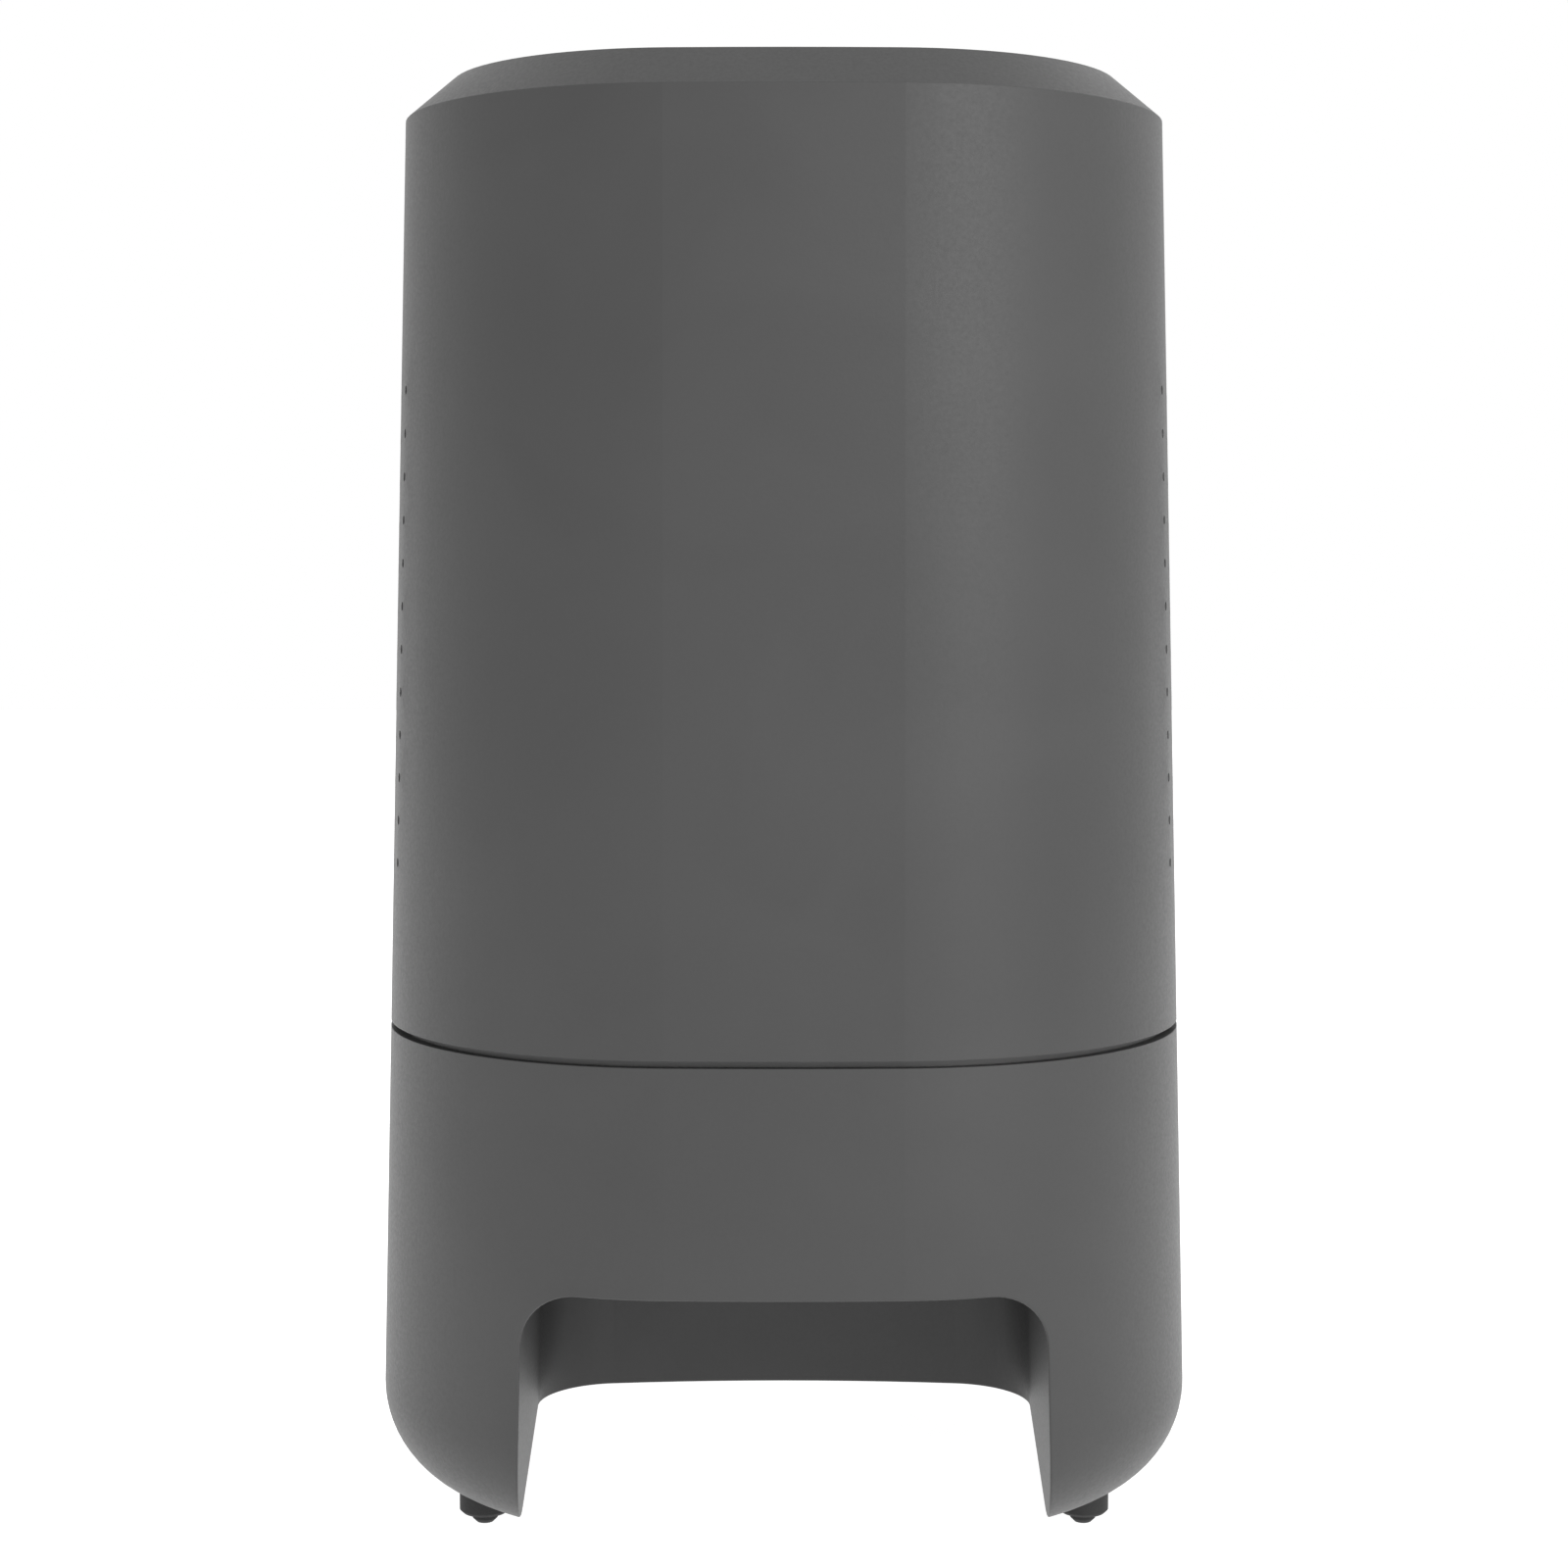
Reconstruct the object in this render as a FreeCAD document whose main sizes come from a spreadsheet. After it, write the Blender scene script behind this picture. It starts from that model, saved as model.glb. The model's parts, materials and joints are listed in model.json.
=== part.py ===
import FreeCAD
import Part
import math
import os
import Sketcher
from FreeCAD import Placement, Rotation, Vector

# Tower dehumidifier with a thermoelectric core. Millimetres, +Z up, the origin on the
# floor under the middle of the tower. The plain face with the arch looks along -Y; the
# water tank slides out of the back, along +Y.

doc = FreeCAD.newDocument("dehumidifier")

# Driving dimensions: alias, value
SIZES = [
    # outer form: four-fold rounded square with a steady draft
    ("total_height", 353.4),
    ("bevel_height", 9.7),
    ("bevel_width", 11.4),
    ("seam_level", 121.2),
    ("seam_gap", 1.6),
    ("seam_half_width", 99.4),
    ("draft_slope", 0.0258),
    ("face_radius", 641.0),
    ("corner_radius", 74.6),
    ("ground_clearance", 5.7),
    ("bottom_fillet", 25.2),
    ("wall", 2.5),
    # arch recess in the base
    ("arch_top", 67.6),
    ("arch_half_front", 61.0),
    ("arch_half_back", 68.2),
    ("arch_back_wall", 53.2),
    ("arch_back_radius", 400.0),
    ("arch_back_corner", 22.0),
    ("arch_draft", 1.4),
    ("arch_fillet", 13.4),
    ("edge_round", 0.35),
    # air intake holes in both sides
    ("vent_radius", 1.125),
    ("vent_columns", 10.0),
    ("vent_rows", 12.0),
    ("vent_column_pitch", 10.12),
    ("vent_row_pitch", 10.45),
    ("vent_above_seam", 41.8),
    ("vent_sag", 3.8),
    # rubber feet
    ("foot_along_x", 73.9),
    ("foot_along_y", 50.8),
    ("foot_radius", 6.25),
    ("foot_rim", 2.5),
    ("foot_nub_radius", 3.1),
    ("foot_socket", 4.4),
    # fits
    ("slide_gap", 0.4),
    ("trim_gap", 0.6),
    ("button_gap", 0.4),
    ("running_gap", 0.05),
    ("pilot_gap", 0.05),
    ("hole_gap", 0.1),
    # posts that take the long screws
    ("base_post_radius", 4.5),
    ("shell_post_radius", 5.5),
    ("shell_post_height", 25.0),
    ("boss_wall", 2.5),
    ("base_screw_bite", 10.0),
    ("shell_screw_bite", 12.0),
    # seam band and the floor plate of the upper part
    ("band_thickness", 1.8),
    ("band_overlap", 4.0),
    ("plate_rise", 2.6),
    ("plate_thickness", 3.0),
    # water tank
    ("tank_half_width", 62.0),
    ("tank_front_margin", 27.4),
    ("tank_back_margin", 19.4),
    ("tank_wall", 2.0),
    ("tank_below_seam", 9.2),
    ("tank_low_floor", 42.0),
    ("tank_corner", 6.0),
    ("lid_thickness", 2.0),
    ("fill_hole_radius", 8.0),
    ("window_margin", 4.5),
    ("window_below_floor", 1.0),
    ("window_below_seam", 5.2),
    ("window_corner", 8.0),
    ("grip_half_width", 28.0),
    ("grip_height", 19.0),
    ("grip_below_head", 9.0),
    ("grip_depth", 22.0),
    ("face_rib_along_x", 50.0),
    ("face_rib_thickness", 3.0),
    # float under the tank's lid
    ("float_x", -20.0),
    ("float_y", 15.0),
    ("float_drop", 8.0),
    ("float_pin_radius", 1.2),
    ("float_eye_radius", 3.2),
    ("ear_reach", 6.0),
    ("ear_thickness", 2.5),
    ("arm_width", 6.0),
    ("arm_length", 26.0),
    ("float_width", 24.0),
    ("float_depth", 20.0),
    ("float_floor_gap", 7.5),
    ("magnet_radius", 3.0),
    ("magnet_thickness", 2.5),
    # pouring plug at the back of the lid
    ("plug_radius", 7.0),
    ("plug_edge", 22.0),
    ("plug_cap", 1.6),
    # thermoelectric stack
    ("sink_half_width", 46.0),
    ("sink_rise", 23.2),
    ("sink_head_room", 46.0),
    ("sink_base", 6.0),
    ("cold_fin", 36.0),
    ("hot_fin", 44.0),
    ("fin_thickness", 1.2),
    ("cold_fin_pitch", 6.0),
    ("hot_fin_pitch", 4.0),
    ("module_size", 40.0),
    ("module_thickness", 4.0),
    ("module_front", -16.0),
    ("screw_radius", 1.45),
    ("screw_head", 2.2),
    ("sink_screw_pitch", 60.0),
    ("bracket_thickness", 3.0),
    ("bracket_flange", 16.0),
    # drip tray and its spout
    ("tray_height", 14.0),
    ("tray_wall", 1.6),
    ("tray_corner", 5.0),
    ("spout_radius", 5.2),
    ("spout_bore", 3.6),
    # fan
    ("fan_size", 92.0),
    ("fan_depth", 25.4),
    ("fan_bore", 44.0),
    ("fan_hub", 19.0),
    ("blade_gap", 3.2),
    ("fan_blades", 7.0),
    ("fan_along_y", 14.0),
    ("fan_screw_edge", 4.75),
    ("fan_corner", 5.0),
    ("strut_width", 4.0),
    ("strut_height", 3.0),
    ("bearing_radius", 4.0),
    ("shaft_radius", 1.5),
    ("blade_thickness", 1.6),
    ("cup_wall", 1.5),
    ("duct_wall", 2.0),
    ("deck_below_top", 47.4),
    ("deck_thickness", 3.0),
    # top panel
    ("panel_margin", 22.6),
    ("panel_thickness", 2.5),
    ("panel_recess", 0.5),
    ("ledge_width", 4.0),
    ("ledge_thickness", 2.7),
    ("slot_half_width", 1.7),
    ("outer_slots", 28.0),
    ("inner_slots", 14.0),
    ("button_radius", 5.5),
    ("button_pitch", 22.0),
    ("button_travel", 0.8),
    ("button_margin", 14.8),
    ("display_offset", 15.0),
    ("display_width", 36.0),
    ("display_depth", 12.0),
    ("board_thickness", 1.6),
    ("board_half_width", 52.0),
    ("board_post_along_x", 46.0),
    ("board_post_radius", 2.8),
    ("switch_case", 6.0),
    ("switch_height", 4.2),
    ("lens_seat", 1.5),
    # intake filters
    ("filter_margin", 19.4),
    ("filter_half_width", 50.0),
    ("filter_rise", 28.2),
    ("filter_head_room", 21.0),
    ("filter_depth", 4.0),
    ("filter_border", 6.0),
    # power inlet
    ("inlet_above_seam", 20.8),
    ("inlet_radius", 5.5),
    ("inlet_bore", 3.15),
    ("inlet_pin_radius", 1.05),
    ("inlet_depth", 10.0),
    ("inlet_recess", 0.4),
]

sheet = doc.addObject("Spreadsheet::Sheet", "dims")
for row, (alias, value) in enumerate(SIZES, start=1):
    sheet.set("A%d" % row, alias)
    sheet.set("B%d" % row, str(value))
    sheet.setAlias("B%d" % row, alias)
doc.recompute()

derived = doc.addObject("App::VarSet", "derived")


def derive(name, expression):
    derived.addProperty("App::PropertyFloat", name, "derived")
    derived.setExpression(name, expression)
    doc.recompute()
    return "derived." + name


def value(expression):
    # number behind an expression of the sheet
    result = sheet.evalExpression(expression)
    return float(getattr(result, "Value", result))


# Centre of the corner arcs (on the diagonal) and the direction of the point where a corner
# arc meets a face arc. All outlines are offsets of one another and share both.
derive("face_centre", "dims.face_radius - dims.seam_half_width")
derive("corner_centre", "(-derived.face_centre + sqrt(2 * (dims.face_radius - dims.corner_radius)^2"
       " - derived.face_centre^2)) / 2")
derive("meet_side", "derived.corner_centre / (dims.face_radius - dims.corner_radius)")
derive("meet_ahead", "(derived.face_centre + derived.corner_centre)"
       " / (dims.face_radius - dims.corner_radius)")
derive("rim_level", "dims.total_height - dims.bevel_height")
derive("upper_bottom", "dims.seam_level + dims.seam_gap")
derive("panel_top", "dims.total_height - dims.panel_recess")
derive("panel_bottom", "derived.panel_top - dims.panel_thickness")
derive("plate_bottom", "dims.seam_level + dims.plate_rise")
derive("plate_top", "derived.plate_bottom + dims.plate_thickness")
derive("deck_level", "dims.total_height - dims.deck_below_top")
derive("sink_bottom", "derived.plate_top + dims.sink_rise")
derive("sink_length", "derived.deck_level - derived.sink_bottom - dims.sink_head_room")
derive("sink_middle", "derived.sink_bottom + derived.sink_length / 2")
derive("filter_along_x", "dims.seam_half_width - dims.filter_margin")
derive("filter_bottom", "derived.plate_top + dims.filter_rise")
derive("filter_length", "derived.deck_level - derived.filter_bottom - dims.filter_head_room")
derive("vent_first_row", "dims.seam_level + dims.vent_above_seam")
derive("tank_front", "dims.tank_front_margin - dims.seam_half_width")
derive("tank_back", "dims.seam_half_width - dims.tank_back_margin")
derive("tank_top", "dims.seam_level - dims.tank_below_seam")
derive("window_half_width", "dims.tank_half_width + dims.window_margin")
derive("window_sill", "dims.tank_low_floor - dims.window_below_floor")
derive("window_head", "dims.seam_level - dims.window_below_seam")
derive("grip_head", "derived.window_head - dims.grip_below_head")
derive("grip_sill", "derived.grip_head - dims.grip_height")
derive("panel_half_width", "dims.seam_half_width - dims.panel_margin")
derive("button_along_y", "dims.button_margin - derived.panel_half_width")
derive("display_along_y", "derived.button_along_y + dims.display_offset")
derive("fan_blade_tip", "dims.fan_bore - dims.blade_gap")
derive("fan_screw_pitch", "dims.fan_size - 2 * dims.fan_screw_edge")
derive("inlet_level", "dims.seam_level + dims.inlet_above_seam")
derive("tank_floor", "dims.arch_top + dims.wall + dims.slide_gap")
derive("lid_top", "derived.tank_top + dims.lid_thickness")
derive("fan_bottom", "derived.deck_level + dims.deck_thickness")
derive("fan_top", "derived.fan_bottom + dims.fan_depth")
derive("module_back", "dims.module_front + dims.module_thickness")
derive("board_top", "derived.panel_bottom - 9.1")
derive("inlet_face", "dims.seam_half_width - dims.inlet_above_seam * dims.draft_slope"
       " - dims.inlet_recess")

NODES = {}


def node(name, item):
    # declares the finished object of one sub-part
    item.Label = name
    NODES[name] = item
    return item


def bind(item, **expressions):
    for key, expression in expressions.items():
        item.setExpression(key, str(expression))


def put(item, x, y, z):
    bind(item, **{"Placement.Base.x": x, "Placement.Base.y": y, "Placement.Base.z": z})


def plane(body, role):
    return [(item, [""]) for item in body.Origin.OriginFeatures if item.Role == role][0]


def new_sketch(body, name, role="XY_Plane", offset=("0", "0", "0")):
    sketch = body.newObject("Sketcher::SketchObject", name)
    sketch.AttachmentSupport = plane(body, role)
    sketch.MapMode = "FlatFace"
    bind(sketch, **{"AttachmentOffset.Base.x": offset[0], "AttachmentOffset.Base.y": offset[1],
                    "AttachmentOffset.Base.z": offset[2]})
    return sketch


def pin_point(sketch, geometry, end, x, y):
    # holds one end of a sketch edge at (x, y), both expressions
    for kind, expression in (("DistanceX", x), ("DistanceY", y)):
        index = sketch.addConstraint(
            Sketcher.Constraint(kind, -1, 1, geometry, end, value(expression)))
        sketch.setExpression("Constraints[%d]" % index, expression)


def pin_radius(sketch, geometry, expression):
    index = sketch.addConstraint(Sketcher.Constraint("Radius", geometry, value(expression)))
    sketch.setExpression("Constraints[%d]" % index, expression)


def polygon(sketch, points):
    # closed outline of straight edges through points given as pairs of expressions
    first = sketch.GeometryCount
    spots = [Vector(value(x), value(y), 0) for x, y in points]
    for k in range(len(points)):
        sketch.addGeometry(Part.LineSegment(spots[k], spots[(k + 1) % len(points)]), False)
    for k in range(len(points)):
        following = first + (k + 1) % len(points)
        sketch.addConstraint(Sketcher.Constraint("Coincident", first + k, 2, following, 1))
        pin_point(sketch, first + k, 1, *points[k])


def disc(sketch, x, y, radius):
    spot = Vector(value(x), value(y), 0)
    index = sketch.addGeometry(Part.Circle(spot, Vector(0, 0, 1), value(radius)), False)
    pin_point(sketch, index, 3, x, y)
    pin_radius(sketch, index, radius)


def outline(body, name, inset, level):
    # rounded square at a level, inset from the shell's outline at the seam
    sketch = new_sketch(body, name, offset=("0", "0", level))
    far = "((dims.face_radius - (%s)) * derived.meet_ahead - derived.face_centre)" % inset
    near = "((dims.face_radius - (%s)) * derived.meet_side)" % inset
    face = "dims.face_radius - (%s)" % inset
    corner = "dims.corner_radius - (%s)" % inset
    # joints between arcs, counter-clockwise from the +X face's lower end
    joints = [(far, "-" + near), (far, near), (near, far), ("-" + near, far),
              ("-" + far, near), ("-" + far, "-" + near), ("-" + near, "-" + far), (near, "-" + far)]
    spots = [Vector(value(x), value(y), 0) for x, y in joints]
    for k in range(8):
        start = spots[k]
        end = spots[(k + 1) % 8]
        radius = value(face) if k % 2 == 0 else value(corner)
        chord = end - start
        middle = (start + end) * 0.5
        rise = radius - math.sqrt(radius ** 2 - (chord.Length / 2) ** 2)
        outward = Vector(chord.y, -chord.x, 0).normalize()
        arc = Part.Arc(start, middle + outward * rise, end)
        sketch.addGeometry(arc, False)
    for k in range(8):
        sketch.addConstraint(Sketcher.Constraint("Coincident", k, 2, (k + 1) % 8, 1))
        pin_point(sketch, k, 1, *joints[k])
        pin_radius(sketch, k, face if k % 2 == 0 else corner)
    return sketch


def drafted(level, inset="0"):
    # inset of the drafted wall at a level, plus a further inset
    return "(%s - dims.seam_level) * dims.draft_slope + %s" % (level, inset)


LEAN = "atan(dims.draft_slope)"


def prism(name, inset, low, high, lean=None):
    # rounded square between two levels; inset is the one at the low level, lean its draft
    body = doc.addObject("PartDesign::Body", name)
    base = pad(body, outline(body, name + "_outline", inset, low), "%s - (%s)" % (high, low), name + "_pad")
    if lean:
        lean_walls(body, base, lean)
    return body


def lean_walls(body, base, lean):
    # drafts every upright face of a pad, hinged on its lower end
    faces = base.Shape.Faces
    floor = base.Shape.BoundBox.ZMin
    ends = [k for k, face in enumerate(faces) if face.BoundBox.ZLength < 0.01]
    neutral = [k for k in ends if face_level(faces[k]) < floor + 0.01][0]
    draft = body.newObject("PartDesign::Draft", base.Name + "_draft")
    draft.Base = (base, ["Face%d" % (k + 1) for k in range(len(faces)) if k not in ends])
    draft.NeutralPlane = (base, ["Face%d" % (neutral + 1)])
    bind(draft, Angle=lean)
    doc.recompute()


def face_level(face):
    return face.CenterOfMass.z


def pad(body, sketch, length, name, both=False):
    feature = body.newObject("PartDesign::Pad", name)
    feature.Profile = sketch
    feature.SideType = "Symmetric" if both else "One side"
    bind(feature, Length=length)
    doc.recompute()
    return feature


def pocket(body, sketch, length, name, reverse=False, both=False):
    before = body.Shape.Volume
    feature = body.newObject("PartDesign::Pocket", name)
    feature.Profile = sketch
    feature.Reversed = reverse
    feature.SideType = "Symmetric" if both else "One side"
    bind(feature, Length=length)
    doc.recompute()
    if body.Shape.Volume > before - 1e-6:
        raise ValueError(name + " cuts nothing")
    return feature


def round_edges(body, radius, chosen, name):
    # fillet on the body's edges that the test picks
    base = body.Tip
    picked = ["Edge%d" % (k + 1) for k, edge in enumerate(base.Shape.Edges) if chosen(edge)]
    feature = body.newObject("PartDesign::Fillet", name)
    feature.Base = (base, picked)
    bind(feature, Radius=radius)
    doc.recompute()
    return feature


def upright(edge):
    box = edge.BoundBox
    return box.ZLength > 1 and box.XLength < 1e-3 and box.YLength < 1e-3


def block(name, low, size):
    item = doc.addObject("Part::Box", name)
    bind(item, Length=size[0], Width=size[1], Height=size[2])
    put(item, *low)
    return item


def centred_block(name, half_x, y, half_y, z, height):
    return block(name, ("-(%s)" % half_x, "%s - (%s)" % (y, half_y), z),
                 ("2 * (%s)" % half_x, "2 * (%s)" % half_y, height))


def rod(name, radius, length, x, y, z, turn=None):
    item = doc.addObject("Part::Cylinder", name)
    bind(item, Radius=radius, Height=length)
    if turn:
        item.Placement = Placement(Vector(), Rotation(*turn))
    put(item, x, y, z)
    return item


ALONG_Y = (Vector(1, 0, 0), -90)
ALONG_X = (Vector(0, 1, 0), 90)


def cut(name, base, tool):
    item = doc.addObject("Part::Cut", name)
    item.Base = base
    item.Tool = tool
    doc.recompute()
    return item


def fuse(name, pieces):
    item = doc.addObject("Part::MultiFuse", name)
    item.Shapes = pieces
    doc.recompute()
    return item


def common(name, first, second):
    item = doc.addObject("Part::Common", name)
    item.Base = first
    item.Tool = second
    doc.recompute()
    return item


def group(name, pieces):
    item = doc.addObject("Part::Compound", name)
    item.Links = pieces
    doc.recompute()
    return item


def four_rods(name, radius, length, x, y, z):
    return [rod("%s_%d%d" % (name, sx, sy), radius, length, "%d * (%s)" % (2 * sx - 1, x),
                "%d * (%s)" % (2 * sy - 1, y), z) for sx in (0, 1) for sy in (0, 1)]


def four_screws(name, x, y, head_level, length, head_up=True):
    # button-head screws at the four signs of (x, y), the head's flat side at head_level
    pieces = []
    for sx in (-1, 1):
        for sy in (-1, 1):
            tag = "%s_%d%d" % (name, sx + 1, sy + 1)
            place_x = "%d * (%s)" % (sx, x)
            place_y = "%d * (%s)" % (sy, y)
            low = "%s - (%s)" % (head_level, length) if head_up else head_level
            head_low = head_level if head_up else "%s - dims.screw_head" % head_level
            shank = rod(tag + "_shank", "dims.screw_radius", length, place_x, place_y, low)
            head = rod(tag + "_head", "dims.screw_head", "dims.screw_head", place_x, place_y, head_low)
            pieces.append(fuse(tag, [shank, head]))
    return node(name, group(name + "_group", pieces))


# Base

def curved_plan(sketch, front_x, front_y, back_x, side_y, back_y, radius):
    # plan with a straight front edge, straight sides and a back edge that bows outwards
    joints = [("-(%s)" % front_x, front_y), (front_x, front_y),
              (back_x, side_y), ("-(%s)" % back_x, side_y)]
    spots = [Vector(value(x), value(y), 0) for x, y in joints]
    sketch.addGeometry(Part.LineSegment(spots[0], spots[1]), False)
    sketch.addGeometry(Part.LineSegment(spots[1], spots[2]), False)
    sketch.addGeometry(Part.Arc(spots[2], Vector(0, value(back_y), 0), spots[3]), False)
    sketch.addGeometry(Part.LineSegment(spots[3], spots[0]), False)
    for k in range(4):
        sketch.addConstraint(Sketcher.Constraint("Coincident", k, 2, (k + 1) % 4, 1))
        pin_point(sketch, k, 1, *joints[k])
    pin_radius(sketch, 2, radius)


def arch_space(name, grow):
    # arch recess: a drafted plan with rounded back corners, open at the front and below
    body = doc.addObject("PartDesign::Body", name)
    sketch = new_sketch(body, name + "_plan", offset=("0", "0", "dims.ground_clearance - 20"))
    extra = "(%s) + 20 * tan(dims.arch_draft)" % grow
    front_x = "dims.arch_half_front + " + extra
    back_x = "dims.arch_half_back + " + extra
    back_y = "dims.arch_back_wall + " + extra
    front_y = "-dims.seam_half_width - 30"
    arc = "(dims.arch_back_radius + %s)" % extra
    side_y = "%s - %s + sqrt(%s^2 - (%s)^2)" % (back_y, arc, arc, back_x)
    curved_plan(sketch, front_x, front_y, back_x, side_y, back_y, arc)
    base = pad(body, sketch, "dims.arch_top - dims.ground_clearance + 20 + (%s)" % grow, name + "_pad")
    lean_walls(body, base, "dims.arch_draft")
    back = value(back_y) / 2

    def standing_back(edge):
        box = edge.BoundBox
        return box.ZLength > 20 and box.YMin > back

    round_edges(body, "dims.arch_back_corner + %s" % grow, standing_back, name + "_corners")
    top = value("dims.arch_top + " + grow)
    front = value(front_y) + 10

    def around_top(edge):
        box = edge.BoundBox
        return box.ZMin > top - 0.01 and box.YMax > front

    round_edges(body, "dims.arch_fillet + %s" % grow, around_top, name + "_crown")
    return body


def base_shell():
    bottom = "dims.ground_clearance"
    outer = prism("base_outer", drafted(bottom), bottom, "dims.seam_level", LEAN)
    floor = value(bottom)
    round_edges(outer, "dims.bottom_fillet", lambda edge: edge.BoundBox.ZMax < floor + 0.01, "base_round")
    inner_floor = "(dims.ground_clearance + dims.wall)"
    inner = prism("base_inner", drafted(inner_floor, "dims.wall"), inner_floor, "dims.seam_level + 1", LEAN)
    inner_low = value(inner_floor)
    round_edges(inner, "dims.bottom_fillet - dims.wall",
                lambda edge: edge.BoundBox.ZMax < inner_low + 0.01, "base_inner_round")
    walls = arch_space("arch_walls", "dims.wall")
    posts = four_rods("base_post", "dims.base_post_radius", "derived.plate_bottom", "dims.foot_along_x",
                      "dims.foot_along_y", "0")
    sockets = four_rods("foot_boss", "dims.foot_radius + dims.boss_wall",
                        "dims.ground_clearance + dims.foot_socket + dims.wall", "dims.foot_along_x",
                        "dims.foot_along_y", "0")
    kept = fuse("base_kept", [walls] + posts + sockets)
    hollow = cut("base_hollow", inner, kept)
    shell = cut("base_walls", outer, hollow)
    tools = [arch_space("arch_void", "0")]
    tools += four_rods("foot_hole", "dims.foot_radius + dims.hole_gap",
                       "dims.ground_clearance + dims.foot_socket", "dims.foot_along_x",
                       "dims.foot_along_y", "0")
    tools += four_rods("base_screw_hole", "dims.screw_radius + dims.pilot_gap", "dims.base_screw_bite + 10",
                       "dims.foot_along_x", "dims.foot_along_y",
                       "derived.plate_bottom - dims.base_screw_bite - 2")
    tools.append(window_block("tank_window", "0"))
    body = doc.addObject("PartDesign::Body", "base_body")
    body.BaseFeature = cut("base_cut", shell, fuse("base_tools", tools))
    doc.recompute()
    skins = [outer.Shape.Shells[0], tools[0].Shape.Shells[0]]

    def around_arch(edge):
        first, last = edge.ParameterRange
        middle = Part.Vertex(edge.valueAt((first + last) / 2))
        return max(middle.distToShape(skin)[0] for skin in skins) < 1e-3

    round_edges(body, "dims.edge_round", around_arch, "arch_edge")
    return node("base_shell", body)


def window_block(name, inset):
    # rounded block that cuts the tank's window through the back wall
    body = doc.addObject("PartDesign::Body", name)
    sketch = new_sketch(body, name + "_plan", "XZ_Plane", ("0", "0", "-(derived.tank_back + 2)"))
    x = "derived.window_half_width - %s" % inset
    low = "derived.window_sill + %s" % inset
    high = "derived.window_head - %s" % inset
    polygon(sketch, [("-(%s)" % x, low), (x, low), (x, high), ("-(%s)" % x, high)])
    feature = pad(body, sketch, "dims.seam_half_width - derived.tank_back + 10", name + "_pad")
    if body.Shape.BoundBox.YMin < value("derived.tank_back"):
        feature.Reversed = True
        doc.recompute()
    round_edges(body, "dims.window_corner - %s" % inset,
                lambda edge: edge.BoundBox.YLength > 10, name + "_corners")
    return body


def foot(name, sign_x, sign_y):
    # rubber foot: a plug with a rounded rim and a small domed nub that touches the floor
    body = doc.addObject("PartDesign::Body", name)
    sketch = new_sketch(body, name + "_section", "XZ_Plane")
    top = "dims.ground_clearance + dims.foot_socket - dims.hole_gap"
    polygon(sketch, [("0", "0"), ("dims.foot_nub_radius - 1", "0"),
                     ("dims.foot_nub_radius", "1"), ("dims.foot_nub_radius", "dims.foot_rim"),
                     ("dims.foot_radius - 0.8", "dims.foot_rim"),
                     ("dims.foot_radius", "dims.foot_rim + 0.8"),
                     ("dims.foot_radius", top), ("0", top)])
    turned = body.newObject("PartDesign::Revolution", name + "_turned")
    turned.Profile = sketch
    turned.ReferenceAxis = (sketch, ["V_Axis"])
    doc.recompute()
    put(body, "%d * dims.foot_along_x" % sign_x, "%d * dims.foot_along_y" % sign_y, "0")
    return node(name, body)


def seam_band():
    # band behind the shadow gap, which both shells sit over
    low = "(dims.seam_level - dims.band_overlap)"
    high = "(derived.upper_bottom + dims.band_overlap)"
    outer = prism("band_outer", drafted(low, "dims.wall + 0.1"), low, high, LEAN)
    low_in = "(dims.seam_level - dims.band_overlap - 1)"
    high_in = "(derived.upper_bottom + dims.band_overlap + 1)"
    thick = "dims.wall + 0.1 + dims.band_thickness"
    inner = prism("band_inner", drafted(low_in, thick), low_in, high_in, LEAN)
    ring = cut("band_ring", outer, inner)
    return node("seam_band", ring)


def chassis_plate():
    body = prism("plate_blank", "dims.wall + dims.band_thickness + 0.6", "derived.plate_bottom",
                 "derived.plate_top")
    low = "derived.plate_bottom - 1"
    through = "dims.plate_thickness + 2"
    tools = four_rods("plate_hole", "dims.screw_radius + dims.hole_gap", through, "dims.foot_along_x",
                      "dims.foot_along_y", low)
    tools += four_rods("plate_shell_hole", "dims.screw_radius + dims.hole_gap", through,
                       "derived.corner_post", "derived.corner_post", low)
    tools.append(rod("plate_drain", "dims.spout_radius + dims.slide_gap", through, "0",
                     "derived.drain_y", low))
    return node("chassis_plate", cut("plate_cut", body, fuse("plate_tools", tools)))


# Water tank

def tank_profile(body, name, inner):
    # side view of the tank: shallow over the arch recess, deep behind it
    wall = "dims.tank_wall" if inner else "0"
    sketch = new_sketch(body, name, "YZ_Plane")
    drop = "dims.arch_back_wall + dims.wall + 2 + %s" % wall
    top = "derived.tank_top + 1" if inner else "derived.tank_top"
    polygon(sketch, [("derived.tank_front + %s" % wall, "derived.tank_floor + %s" % wall),
                     (drop, "derived.tank_floor + %s" % wall),
                     (drop, "dims.tank_low_floor + %s" % wall),
                     ("derived.tank_back - %s" % wall, "dims.tank_low_floor + %s" % wall),
                     ("derived.tank_back - %s" % wall, top),
                     ("derived.tank_front + %s" % wall, top)])
    return sketch


def water_tank():
    body = doc.addObject("PartDesign::Body", "tank_body")
    pad(body, tank_profile(body, "tank_side", False), "2 * dims.tank_half_width", "tank_pad", both=True)
    round_edges(body, "dims.tank_corner", upright, "tank_corners")
    pocket(body, tank_profile(body, "tank_inside", True),
           "2 * (dims.tank_half_width - dims.tank_wall)", "tank_hollow", both=True)
    return node("water_tank", body)


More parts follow.
